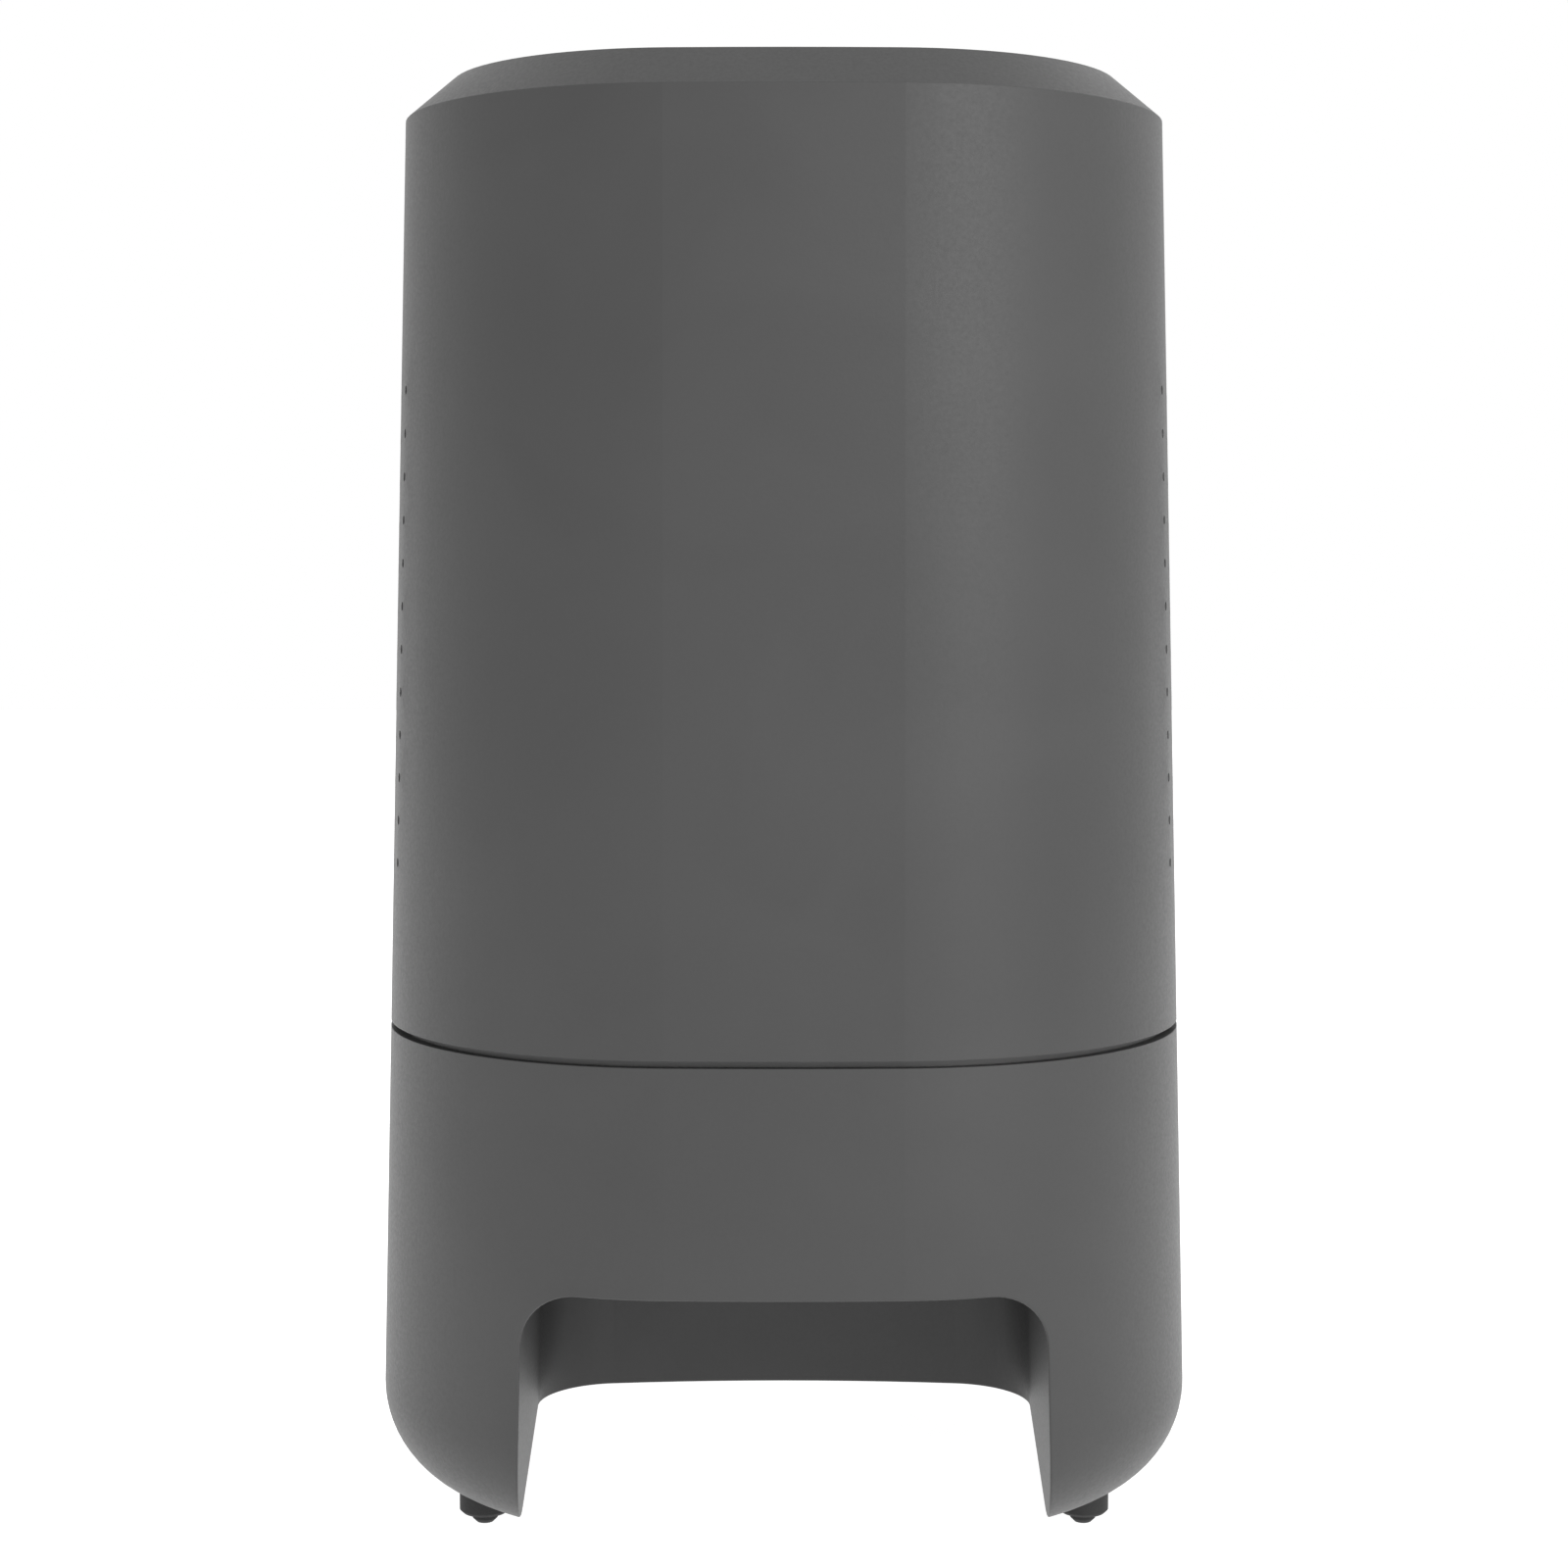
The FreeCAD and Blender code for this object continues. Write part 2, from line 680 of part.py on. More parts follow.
def tank_lid():
    body = doc.addObject("PartDesign::Body", "lid_body")
    sketch = new_sketch(body, "lid_plan", offset=("0", "0", "derived.tank_top"))
    half = "dims.tank_half_width"
    polygon(sketch, [("-" + half, "derived.tank_front"), (half, "derived.tank_front"),
                     (half, "derived.tank_back"), ("-" + half, "derived.tank_back")])
    pad(body, sketch, "dims.lid_thickness", "lid_pad")
    round_edges(body, "dims.tank_corner", upright, "lid_corners")
    holes = new_sketch(body, "lid_holes", offset=("0", "0", "derived.tank_top"))
    disc(holes, "0", "derived.drain_y", "dims.fill_hole_radius")
    disc(holes, "derived.plug_x", "derived.plug_y", "dims.plug_radius")
    pocket(body, holes, "dims.lid_thickness + 1", "lid_openings", reverse=True)
    ears = []
    half = "(dims.float_eye_radius + 0.8)"
    for side in (-1, 1):
        low = "dims.float_x + %d * dims.ear_reach - dims.ear_thickness / 2" % side
        ears.append(block("float_ear_%d" % (side + 1),
                          (low, "dims.float_y - " + half, "derived.float_level - " + half),
                          ("dims.ear_thickness", "2 * " + half, "dims.float_drop + " + half)))
    bore = rod("float_ear_bore", "dims.float_pin_radius", "2 * dims.ear_reach + 8",
               "dims.float_x - dims.ear_reach - 4", "dims.float_y", "derived.float_level", ALONG_X)
    return node("tank_lid", cut("lid_cut", fuse("lid_fused", [body] + ears), bore))


def float_pieces():
    # float on a hinged arm below the lid, with a magnet for the switch above the tank
    pin = rod("float_pin_rod", "dims.float_pin_radius", "2 * dims.ear_reach + dims.ear_thickness",
              "dims.float_x - dims.ear_reach - dims.ear_thickness / 2", "dims.float_y",
              "derived.float_level", ALONG_X)
    node("float_pin", pin)
    reach = "(dims.ear_reach - dims.ear_thickness / 2 - 0.55)"
    eye = rod("float_eye", "dims.float_eye_radius", "2 * " + reach, "dims.float_x - " + reach,
              "dims.float_y", "derived.float_level", ALONG_X)
    left = "dims.float_x - dims.arm_width / 2"
    end = "dims.float_y + dims.arm_length"
    arm = block("float_arm", (left, "dims.float_y", "derived.float_level - dims.magnet_thickness"),
                ("dims.arm_width", "dims.arm_length", "2 * dims.magnet_thickness"))
    tab = block("float_tab", (left, end + " - 4", "derived.float_level - dims.arm_length / 2 + 1"),
                ("dims.arm_width", "8", "dims.arm_length / 2 - 1"))
    shell = block("float_shell", ("dims.float_x - dims.float_width / 2", end + " - dims.float_depth / 2",
                                  "derived.float_level - derived.float_height - 8"),
                  ("dims.float_width", "dims.float_depth", "derived.float_height"))
    body = fuse("float_fused", [eye, arm, tab, shell])
    bore = rod("float_bore", "dims.float_pin_radius + dims.running_gap", "2 * dims.ear_reach + 8",
               "dims.float_x - dims.ear_reach - 4", "dims.float_y", "derived.float_level", ALONG_X)
    seat_low = "derived.float_level - dims.magnet_thickness - 0.5"
    seat = rod("float_magnet_seat", "dims.magnet_radius + dims.pilot_gap", "dims.magnet_thickness + 0.5",
               "dims.float_x", end, seat_low)
    node("float_block", cut("float_cut", body, fuse("float_tools", [bore, seat])))
    node("float_magnet", rod("float_magnet_disc", "dims.magnet_radius", "dims.magnet_thickness",
                             "dims.float_x", end, seat_low))


def pour_plug():
    cap = rod("plug_cap", "dims.plug_radius + 2", "dims.plug_cap", "derived.plug_x", "derived.plug_y",
              "derived.lid_top")
    stem = rod("plug_stem", "dims.plug_radius", "dims.lid_thickness + 3", "derived.plug_x",
               "derived.plug_y", "derived.tank_top - 3")
    return node("pour_plug", fuse("plug_fused", [cap, stem]))


def tank_face():
    # outside face of the drawer: a piece of the shell's own curved wall, with a finger grip
    low = "(derived.window_sill - 8)"
    high = "(derived.window_head + 2)"
    skin_out = prism("face_outer", drafted(low), low, high, LEAN)
    low_in = "(derived.window_sill - 9)"
    high_in = "(derived.window_head + 3)"
    skin_in = prism("face_inner", drafted(low_in, "dims.wall"), low_in, high_in, LEAN)
    wall = cut("face_wall", skin_out, skin_in)
    pane = common("face_pane", wall, window_block("face_window", "dims.trim_gap"))
    cup = centred_block("grip_cup", "dims.grip_half_width + 2", "derived.tank_back + dims.grip_depth / 2",
                        "dims.grip_depth / 2",
                        "derived.grip_sill - 2", "derived.grip_head - derived.grip_sill + 4")
    ribs = [block("face_rib_%d" % (side + 1),
                  ("%d * dims.face_rib_along_x - dims.face_rib_thickness / 2" % side, "derived.tank_back",
                   "derived.window_sill + 9"),
                  ("dims.face_rib_thickness", "dims.grip_depth",
                   "derived.window_head - derived.window_sill - 20"))
            for side in (-1, 1)]
    inside = common("face_inside", fuse("face_backing", [cup] + ribs), skin_out)
    void = centred_block("grip_void", "dims.grip_half_width", "derived.tank_back + dims.grip_depth",
                         "dims.grip_depth - 2",
                         "derived.grip_sill", "derived.grip_head - derived.grip_sill")
    return node("tank_face", cut("face_cut", fuse("face_fused", [pane, inside]), void))


# Upper shell

def vent_tool():
    # one row of holes, sagging towards the middle of the side, repeated upwards
    body = doc.addObject("PartDesign::Body", "vent_tool")
    sketch = new_sketch(body, "vent_row", "YZ_Plane")
    columns = round(value("dims.vent_columns"))
    edge = "((dims.vent_columns - 1) / 2 * dims.vent_column_pitch)"
    for k in range(columns):
        y = "((%d - (dims.vent_columns - 1) / 2) * dims.vent_column_pitch)" % k
        disc(sketch, y, "derived.vent_first_row - dims.vent_sag * (1 - (%s / %s)^2)" % (y, edge),
             "dims.vent_radius")
    row = pad(body, sketch, "2 * dims.seam_half_width + 20", "vent_pins", both=True)
    pattern = body.newObject("PartDesign::LinearPattern", "vent_rows")
    pattern.Originals = [row]
    pattern.Direction = (sketch, ["V_Axis"])
    pattern.Mode = "Spacing"
    bind(pattern, Offset="dims.vent_row_pitch", Occurrences="dims.vent_rows")
    body.Tip = pattern
    doc.recompute()
    return body


def upper_shell():
    rim = "derived.rim_level"
    top = "dims.total_height"
    low = "derived.upper_bottom"
    bevel = "atan(dims.bevel_width / dims.bevel_height)"
    outer = fuse("upper_outer", [prism("upper_side", drafted(low), low, rim, LEAN),
                                 prism("upper_bevel", drafted(rim), rim, top, bevel)])
    # the hollow follows the wall, then the bevel, and stops below the panel's ledge
    under = "(derived.upper_bottom - 1)"
    knee = "(derived.rim_level - dims.wall)"
    roof = "(derived.panel_bottom - dims.ledge_thickness)"
    inner = fuse("upper_inner", [prism("inner_side", drafted(under, "dims.wall"), under, knee, LEAN),
                                 prism("inner_bevel", drafted(knee, "dims.wall"), knee, roof, bevel)])
    posts = four_rods("shell_post", "dims.shell_post_radius", "dims.shell_post_height",
                      "derived.corner_post", "derived.corner_post", "derived.plate_top")
    ribs = []
    for sx in (-1, 1):
        for sy in (-1, 1):
            x = "derived.filter_along_x + dims.filter_depth" if sx > 0 else "-derived.filter_along_x" \
                " - dims.filter_depth - 20"
            ribs.append(block("filter_rib_%d%d" % (sx + 1, sy + 1),
                              (x, "%d * (dims.filter_half_width - 3) - 1.5" % sy, "derived.filter_bottom"),
                              ("20", "3", "derived.filter_length")))
    hollow = cut("upper_hollow", inner, fuse("upper_kept", posts + ribs))
    shell = cut("upper_walls", outer, hollow)
    gap = "dims.seam_half_width - derived.panel_half_width"
    seat = prism("panel_seat", "%s - 0.3" % gap, "derived.panel_bottom", "dims.total_height + 1")
    hole = prism("panel_hole", "%s + dims.ledge_width" % gap, "derived.panel_bottom - 10",
                 "derived.panel_bottom + 1")
    tools = four_rods("shell_screw_hole", "dims.screw_radius + dims.pilot_gap",
                      "dims.shell_screw_bite + 6", "derived.corner_post", "derived.corner_post",
                      "derived.plate_top - 1")
    tools.append(rod("inlet_hole", "dims.inlet_radius + dims.hole_gap", "20", "0", "derived.inlet_face - 10",
                     "derived.inlet_level", ALONG_Y))
    body = cut("upper_cut", shell, fuse("upper_tools", [seat, hole] + tools))
    return node("upper_shell", cut("upper_vented", body, vent_tool()))


def filters():
    for side, sign in (("left", -1), ("right", 1)):
        x = "derived.filter_along_x" if sign > 0 else "-derived.filter_along_x - dims.filter_depth"
        frame = block("filter_blank_" + side, (x, "-dims.filter_half_width", "derived.filter_bottom"),
                      ("dims.filter_depth", "2 * dims.filter_half_width", "derived.filter_length"))
        window = block("filter_window_" + side, (x + " - 1", "-dims.filter_half_width + dims.filter_border",
                                                 "derived.filter_bottom + dims.filter_border"),
                       ("dims.filter_depth + 2", "2 * (dims.filter_half_width - dims.filter_border)",
                        "derived.filter_length - 2 * dims.filter_border"))
        node("filter_frame_" + side, cut("filter_cut_" + side, frame, window))
        mesh = block("filter_pane_" + side, (x + " + 1.6", "-dims.filter_half_width + dims.filter_border",
                                             "derived.filter_bottom + dims.filter_border"),
                     ("0.8", "2 * (dims.filter_half_width - dims.filter_border)",
                      "derived.filter_length - 2 * dims.filter_border"))
        node("filter_mesh_" + side, mesh)


# Thermoelectric stack

def heat_sink(name, face_y, sign, fin, pitch, screw_holes):
    # extruded comb: a base plate and one fin repeated across it; sign is the fins' side
    body = doc.addObject("PartDesign::Body", name)
    plan = new_sketch(body, name + "_base", offset=("0", "0", "derived.sink_bottom"))
    back = "%s + %d * dims.sink_base" % (face_y, sign)
    half = "dims.sink_half_width"
    polygon(plan, [("-" + half, face_y), (half, face_y), (half, back), ("-" + half, back)])
    pad(body, plan, "derived.sink_length", name + "_plate")
    count = "(2 * floor((dims.sink_half_width - dims.fin_thickness) / %s) + 1)" % pitch
    blade = new_sketch(body, name + "_fin", offset=("0", "0", "derived.sink_bottom"))
    left = "-(%s - 1) / 2 * %s - dims.fin_thickness / 2" % (count, pitch)
    right = "%s + dims.fin_thickness" % left
    tip = "%s + %d * (dims.sink_base + %s)" % (face_y, sign, fin)
    polygon(blade, [(left, back), (right, back), (right, tip), (left, tip)])
    fin_pad = pad(body, blade, "derived.sink_length", name + "_fin_pad")
    pattern = body.newObject("PartDesign::LinearPattern", name + "_fins")
    pattern.Originals = [fin_pad]
    pattern.Direction = (blade, ["H_Axis"])
    pattern.Mode = "Spacing"
    bind(pattern, Offset=pitch, Occurrences=count)
    body.Tip = pattern
    doc.recompute()
    return node(name, cut(name + "_drilled", body, screw_holes))


def sink_screw_rods(name, radius, start, length):
    rods = []
    for sx in (-1, 1):
        for sz in (-1, 1):
            rods.append(rod("%s_%d%d" % (name, sx + 1, sz + 1), radius, length,
                            "%d * 5.5 * dims.cold_fin_pitch" % sx, start,
                            "derived.sink_middle + %d * dims.sink_screw_pitch / 2" % sz, ALONG_Y))
    return rods


def stack():
    cold_front = "(dims.module_front - dims.sink_base)"
    reach = "dims.sink_base + dims.module_thickness + 5"
    holes = fuse("sink_holes", sink_screw_rods("sink_hole", "dims.screw_radius + dims.hole_gap",
                                               cold_front + " - 0.5",
                                               reach + " + 0.7"))
    heat_sink("cold_heatsink", "dims.module_front", -1, "dims.cold_fin", "dims.cold_fin_pitch", holes)
    heat_sink("hot_heatsink", "derived.module_back", 1, "dims.hot_fin", "dims.hot_fin_pitch", holes)
    shanks = sink_screw_rods("sink_shank", "dims.screw_radius", cold_front, reach)
    heads = sink_screw_rods("sink_head", "dims.screw_head - 0.1", cold_front + " - 2", "2")
    node("sink_screws", group("sink_screw_group", [fuse("sink_screw_%d" % k, [shanks[k], heads[k]])
                                                   for k in range(4)]))
    middle = "derived.sink_middle - dims.module_size / 2"
    node("peltier_module", block("peltier", ("-dims.module_size / 2", "dims.module_front", middle),
                                 ("dims.module_size", "dims.module_thickness", "dims.module_size")))
    foam = block("foam_blank", ("-dims.sink_half_width", "dims.module_front", "derived.sink_bottom"),
                 ("2 * dims.sink_half_width", "dims.module_thickness", "derived.sink_length"))
    opening = block("foam_opening", ("-dims.module_size / 2 - 0.2", "dims.module_front - 1",
                                     middle + " - 0.2"),
                    ("dims.module_size + 0.4", "dims.module_thickness + 2", "dims.module_size + 0.4"))
    node("insulation_frame", cut("foam_cut", foam, fuse("foam_tools", [opening, holes])))
    for side, sign in (("left", -1), ("right", 1)):
        bracket("stack_bracket_" + side, sign)


def bracket(name, sign):
    # channel that carries the stack on the chassis plate and the fan deck on its upper flange
    body = doc.addObject("PartDesign::Body", name)
    sketch = new_sketch(body, name + "_section", "XZ_Plane", ("0", "0", "-derived.module_back"))
    near = "%d * dims.sink_half_width" % sign
    back = "%d * (dims.sink_half_width + dims.bracket_thickness)" % sign
    far = "%d * (dims.sink_half_width + dims.bracket_flange)" % sign
    low = "derived.plate_top"
    high = "derived.deck_level"
    foot_top = low + " + dims.bracket_thickness"
    flange_low = high + " - dims.bracket_thickness"
    points = [(near, low), (far, low), (far, foot_top), (back, foot_top),
              (back, flange_low), (far, flange_low), (far, high), (near, high)]
    polygon(sketch, points if sign > 0 else points[::-1])
    pad(body, sketch, "dims.module_thickness + 2 * dims.sink_base", name + "_pad")
    return node(name, body)


def drip_tray():
    body = doc.addObject("PartDesign::Body", "tray_body")
    plan = new_sketch(body, "tray_plan", offset=("0", "0", "derived.plate_top"))
    half = "dims.sink_half_width"
    front = "derived.drain_y - dims.cold_fin / 2 - 8"
    back = "dims.module_front - 2"
    polygon(plan, [("-" + half, front), (half, front), (half, back), ("-" + half, back)])
    pad(body, plan, "dims.tray_height", "tray_pad")
    round_edges(body, "dims.tray_corner", upright, "tray_corners")
    inner = new_sketch(body, "tray_hollow_plan", offset=("0", "0", "derived.plate_top + dims.tray_height"))
    side = half + " - dims.tray_wall"
    near = front + " + dims.tray_wall"
    far = back + " - dims.tray_wall"
    polygon(inner, [("-(%s)" % side, near), (side, near), (side, far), ("-(%s)" % side, far)])
    pocket(body, inner, "dims.tray_height - dims.tray_wall", "tray_hollow")
    tube = rod("tray_tube", "dims.spout_radius", "derived.plate_top - derived.lid_top - 5", "0",
               "derived.drain_y", "derived.lid_top + 5.4")
    bore = rod("tray_bore", "dims.spout_bore", "derived.plate_top - derived.lid_top", "0",
               "derived.drain_y", "derived.lid_top + 4")
    return node("drip_tray", cut("tray_cut", fuse("tray_fused", [body, tube]), bore))


# Fan

def fan_deck():
    body = prism("deck_blank", drafted("derived.deck_level", "dims.wall + 1"), "derived.deck_level",
                 "derived.fan_bottom")
    through = "dims.deck_thickness + 2"
    low = "derived.deck_level - 1"
    tools = fan_corner_rods("deck_hole", "dims.screw_radius + dims.pilot_gap", low, through)
    tools.append(rod("deck_bore", "dims.fan_bore", through, "0", "dims.fan_along_y", low))
    return node("fan_deck", cut("deck_cut", body, fuse("deck_tools", tools)))


def fan_corner_rods(name, radius, low, length):
    return [rod("%s_%d%d" % (name, sx + 1, sy + 1), radius, length, "%d * derived.fan_screw_pitch / 2" % sx,
                "dims.fan_along_y + %d * derived.fan_screw_pitch / 2" % sy, low)
            for sx in (-1, 1) for sy in (-1, 1)]


def fan_frame():
    # square frame with a round bore; struts under the hub hold the bearing tube
    body = doc.addObject("PartDesign::Body", "fan_blank")
    plan = new_sketch(body, "fan_plan", offset=("0", "0", "derived.fan_bottom"))
    half = "dims.fan_size / 2"
    low = "dims.fan_along_y - " + half
    high = "dims.fan_along_y + " + half
    polygon(plan, [("-" + half, low), (half, low), (half, high), ("-" + half, high)])
    pad(body, plan, "dims.fan_depth", "fan_pad")
    round_edges(body, "dims.fan_corner", upright, "fan_corners")
    tools = fan_corner_rods("fan_hole", "dims.screw_radius + 0.3", "derived.fan_bottom - 1",
                            "dims.fan_depth + 2")
    tools.append(rod("fan_bore_rod", "dims.fan_bore", "dims.fan_depth + 2", "0", "dims.fan_along_y",
                     "derived.fan_bottom - 1"))
    ring = cut("fan_ring", body, fuse("fan_tools", tools))
    base = rod("fan_motor_base", "dims.fan_hub", "dims.strut_height", "0", "dims.fan_along_y",
               "derived.fan_bottom")
    tube = rod("fan_bearing_tube", "dims.bearing_radius", "dims.fan_depth - 9.4", "0",
               "dims.fan_along_y", "derived.fan_bottom")
    struts = []
    for k in range(4):
        strut = doc.addObject("Part::Box", "fan_strut_%d" % k)
        bind(strut, Length="dims.fan_bore - dims.fan_hub + 3", Width="dims.strut_width",
             Height="dims.strut_height")
        angle = 45 + 90 * k
        turn = Rotation(Vector(0, 0, 1), angle)
        strut.Placement = Placement(Vector(), turn)
        start = "(dims.fan_hub - 1)"
        side = "dims.strut_width / 2"
        put(strut, "%s * cos(%d) + %s * sin(%d)" % (start, angle, side, angle),
            "dims.fan_along_y + %s * sin(%d) - %s * cos(%d)" % (start, angle, side, angle),
            "derived.fan_bottom")
        struts.append(strut)
    whole = fuse("fan_fused", [ring, base, tube] + struts)
    bore = rod("fan_shaft_bore", "dims.shaft_radius + dims.running_gap", "dims.fan_depth", "0",
               "dims.fan_along_y", "derived.fan_bottom + 2")
    return node("fan_frame", cut("fan_cut", whole, bore))


def fan_rotor():
    # cup with seven pitched blades; the shaft hangs down into the bearing tube
    body = doc.addObject("PartDesign::Body", "rotor_body")
    cup = new_sketch(body, "rotor_section", "XZ_Plane")
    top = "dims.fan_depth - dims.cup_wall"
    roof = top + " - 2.5"
    inside = "dims.fan_hub - dims.cup_wall"
    skirt = "dims.strut_height + 2"
    tip = "dims.strut_height + 1"
    polygon(cup, [("0", top), ("0", tip), ("dims.shaft_radius", tip), ("dims.shaft_radius", roof),
                  (inside, roof), (inside, skirt), ("dims.fan_hub", skirt), ("dims.fan_hub", top)])
    turned = body.newObject("PartDesign::Revolution", "rotor_cup")
    turned.Profile = cup
    turned.ReferenceAxis = (cup, ["V_Axis"])
    doc.recompute()
    sections = []
    for tag, radius, rise, lean in (("root", "dims.fan_hub - 0.8", "7.5", "7.5"),
                                    ("tip", "derived.fan_blade_tip", "5.5", "13")):
        sketch = new_sketch(body, "blade_" + tag, "YZ_Plane", ("0", "0", radius))
        middle = "(dims.fan_depth / 2 + 1)"
        polygon(sketch, [("-%s" % lean, "%s - %s" % (middle, rise)),
                         ("-%s + dims.blade_thickness" % lean, "%s - %s" % (middle, rise)),
                         (lean, "%s + %s" % (middle, rise)),
                         ("%s - dims.blade_thickness" % lean, "%s + %s" % (middle, rise))])
        sections.append(sketch)
    blade = body.newObject("PartDesign::AdditiveLoft", "blade")
    blade.Profile = sections[0]
    blade.Sections = sections[1:]
    blade.Ruled = True
    doc.recompute()
    ring = body.newObject("PartDesign::PolarPattern", "blades")
    ring.Originals = [blade]
    ring.Axis = (cup, ["V_Axis"])
    ring.Angle = 360
    bind(ring, Occurrences="dims.fan_blades")
    body.Tip = ring
    doc.recompute()
    put(body, "0", "dims.fan_along_y", "derived.fan_bottom")
    return node("fan_rotor", body)


def fan_fixings():
    tops = []
    for k, (shank, head) in enumerate(zip(
            fan_corner_rods("fan_shank", "dims.screw_radius", "derived.deck_level + 0.5",
                            "dims.fan_depth + dims.deck_thickness - 0.5"),
            fan_corner_rods("fan_head", "dims.screw_head", "derived.fan_top", "2"))):
        tops.append(fuse("fan_screw_%d" % k, [shank, head]))
    node("fan_screws", group("fan_screw_group", tops))
    outer = rod("duct_outer", "dims.fan_bore + dims.duct_wall", "derived.panel_bottom - derived.fan_top", "0",
                "dims.fan_along_y", "derived.fan_top")
    inner = rod("duct_inner", "dims.fan_bore", "derived.panel_bottom - derived.fan_top + 2", "0",
                "dims.fan_along_y", "derived.fan_top - 1")
    node("outlet_duct", cut("duct_cut", outer, inner))


# Top panel and controls

def slot_ring(body, name, start, end, count):
    # ring of radial slots about the fan's axis
    sketch = new_sketch(body, name, offset=("0", "dims.fan_along_y", "derived.panel_top"))
    width = "dims.slot_half_width"
    polygon(sketch, [(start, "-" + width), (end, "-" + width), (end, width), (start, width)])
    slot = pocket(body, sketch, "dims.panel_thickness + 1", name + "_cut")
    pattern = body.newObject("PartDesign::PolarPattern", name + "_pattern")
    pattern.Originals = [slot]
    pattern.Axis = (sketch, ["N_Axis"])
    pattern.Angle = 360
    bind(pattern, Occurrences=count)
    body.Tip = pattern
    doc.recompute()


def top_panel():
    inset = "dims.seam_half_width - derived.panel_half_width"
    body = prism("panel_body", inset, "derived.panel_bottom", "derived.panel_top")
    slot_ring(body, "slots_outer", "0.66 * dims.fan_bore", "dims.fan_bore - 1", "dims.outer_slots")
    slot_ring(body, "slots_inner", "0.3 * dims.fan_bore", "0.59 * dims.fan_bore", "dims.inner_slots")
    openings = new_sketch(body, "control_openings", offset=("0", "0", "derived.panel_top"))
    for k in (-1, 0, 1):
        disc(openings, "%d * dims.button_pitch" % k, "derived.button_along_y",
             "dims.button_radius + dims.button_gap")
    rectangle(openings, "dims.display_width / 2 - 2", "derived.display_along_y",
              "dims.display_depth / 2 - 1.5")
    pocket(body, openings, "dims.panel_thickness + 1", "control_cut")
    seat = new_sketch(body, "lens_seat", offset=("0", "0", "derived.panel_top"))
    rectangle(seat, "dims.display_width / 2", "derived.display_along_y", "dims.display_depth / 2")
    pocket(body, seat, "dims.lens_seat", "lens_cut")
    posts = [rod("board_post_%d" % k, "dims.board_post_radius", "derived.panel_bottom - derived.board_top",
                 "%d * dims.board_post_along_x" % k, "derived.display_along_y - 1", "derived.board_top")
             for k in (-1, 1)]
    pilots = [rod("board_pilot_%d" % k, "dims.screw_radius + dims.pilot_gap", "7",
                  "%d * dims.board_post_along_x" % k, "derived.display_along_y - 1",
                  "derived.board_top - 0.5") for k in (-1, 1)]
    whole = fuse("panel_fused", [body] + posts)
    return node("top_panel", cut("panel_cut", whole, fuse("panel_tools", pilots)))


def rectangle(sketch, half_x, y, half_y):
    polygon(sketch, [("-(%s)" % half_x, "%s - (%s)" % (y, half_y)), (half_x, "%s - (%s)" % (y, half_y)),
                     (half_x, "%s + %s" % (y, half_y)), ("-(%s)" % half_x, "%s + %s" % (y, half_y))])


def controls():
    lens = centred_block("lens_block", "dims.display_width / 2 - 0.15", "derived.display_along_y",
                         "dims.display_depth / 2 - 0.15", "derived.panel_top - dims.lens_seat",
                         "dims.lens_seat - 0.1")
    node("display_lens", lens)
    screen = centred_block("screen_block", "dims.display_width / 2 - 1", "derived.display_along_y",
                           "dims.display_depth / 2 - 0.5", "derived.board_top",
                           "derived.panel_bottom - derived.board_top")
    node("display_module", screen)
    low = "derived.board_top - dims.board_thickness"
    blank = block("board_blank", ("-dims.board_half_width", "derived.button_along_y - 6", low),
                  ("2 * dims.board_half_width", "derived.display_along_y - derived.button_along_y + 16",
                   "dims.board_thickness"))
    holes = [rod("board_hole_%d" % k, "dims.screw_radius + dims.hole_gap", "5",
                 "%d * dims.board_post_along_x" % k, "derived.display_along_y - 1", low + " - 1")
             for k in (-1, 1)]
    node("control_board", cut("board_cut", blank, fuse("board_holes", holes)))
    screws = []
    for k in (-1, 1):
        x = "%d * dims.board_post_along_x" % k
        shank = rod("board_shank_%d" % k, "dims.screw_radius", "6", x, "derived.display_along_y - 1", low)
        head = rod("board_head_%d" % k, "dims.screw_head", "1.8", x, "derived.display_along_y - 1",
                   low + " - 1.8")
        screws.append(fuse("board_screw_%d" % k, [shank, head]))
    node("board_screws", group("board_screw_group", screws))
    switches = []
    for k, name in enumerate(("power", "mode", "timer"), start=-1):
        x = "%d * dims.button_pitch" % k
        half = "dims.switch_case / 2"
        case = block("switch_case_%s" % name,
                     (x + " - " + half, "derived.button_along_y - " + half, "derived.board_top"),
                     ("dims.switch_case", "dims.switch_case", "dims.switch_height - 0.8"))
        plunger = rod("switch_plunger_%s" % name, "1.75", "dims.switch_height", x, "derived.button_along_y",
                      "derived.board_top")
        switches.append(fuse("switch_" + name, [case, plunger]))
        button(name, x)
    node("tact_switches", group("switch_group", switches))


def button(name, x):
    # round cap through the panel, with a flange under it as the upper stop
    flange_top = "derived.panel_bottom - 0.3"
    cap = rod("cap_" + name, "dims.button_radius", "dims.panel_thickness + 1.3", x, "derived.button_along_y",
              "derived.panel_bottom - 1")
    flange = rod("flange_" + name, "dims.button_radius + 1.2", "1.4", x, "derived.button_along_y",
                 flange_top + " - 1.4")
    stem_low = "derived.board_top + dims.switch_height + dims.button_travel + 0.15"
    stem = rod("stem_" + name, "1.4", "derived.panel_bottom - 1 - (%s)" % stem_low, x,
               "derived.button_along_y", stem_low)
    node("button_" + name, fuse("button_fused_" + name, [cap, flange, stem]))


# Electrics

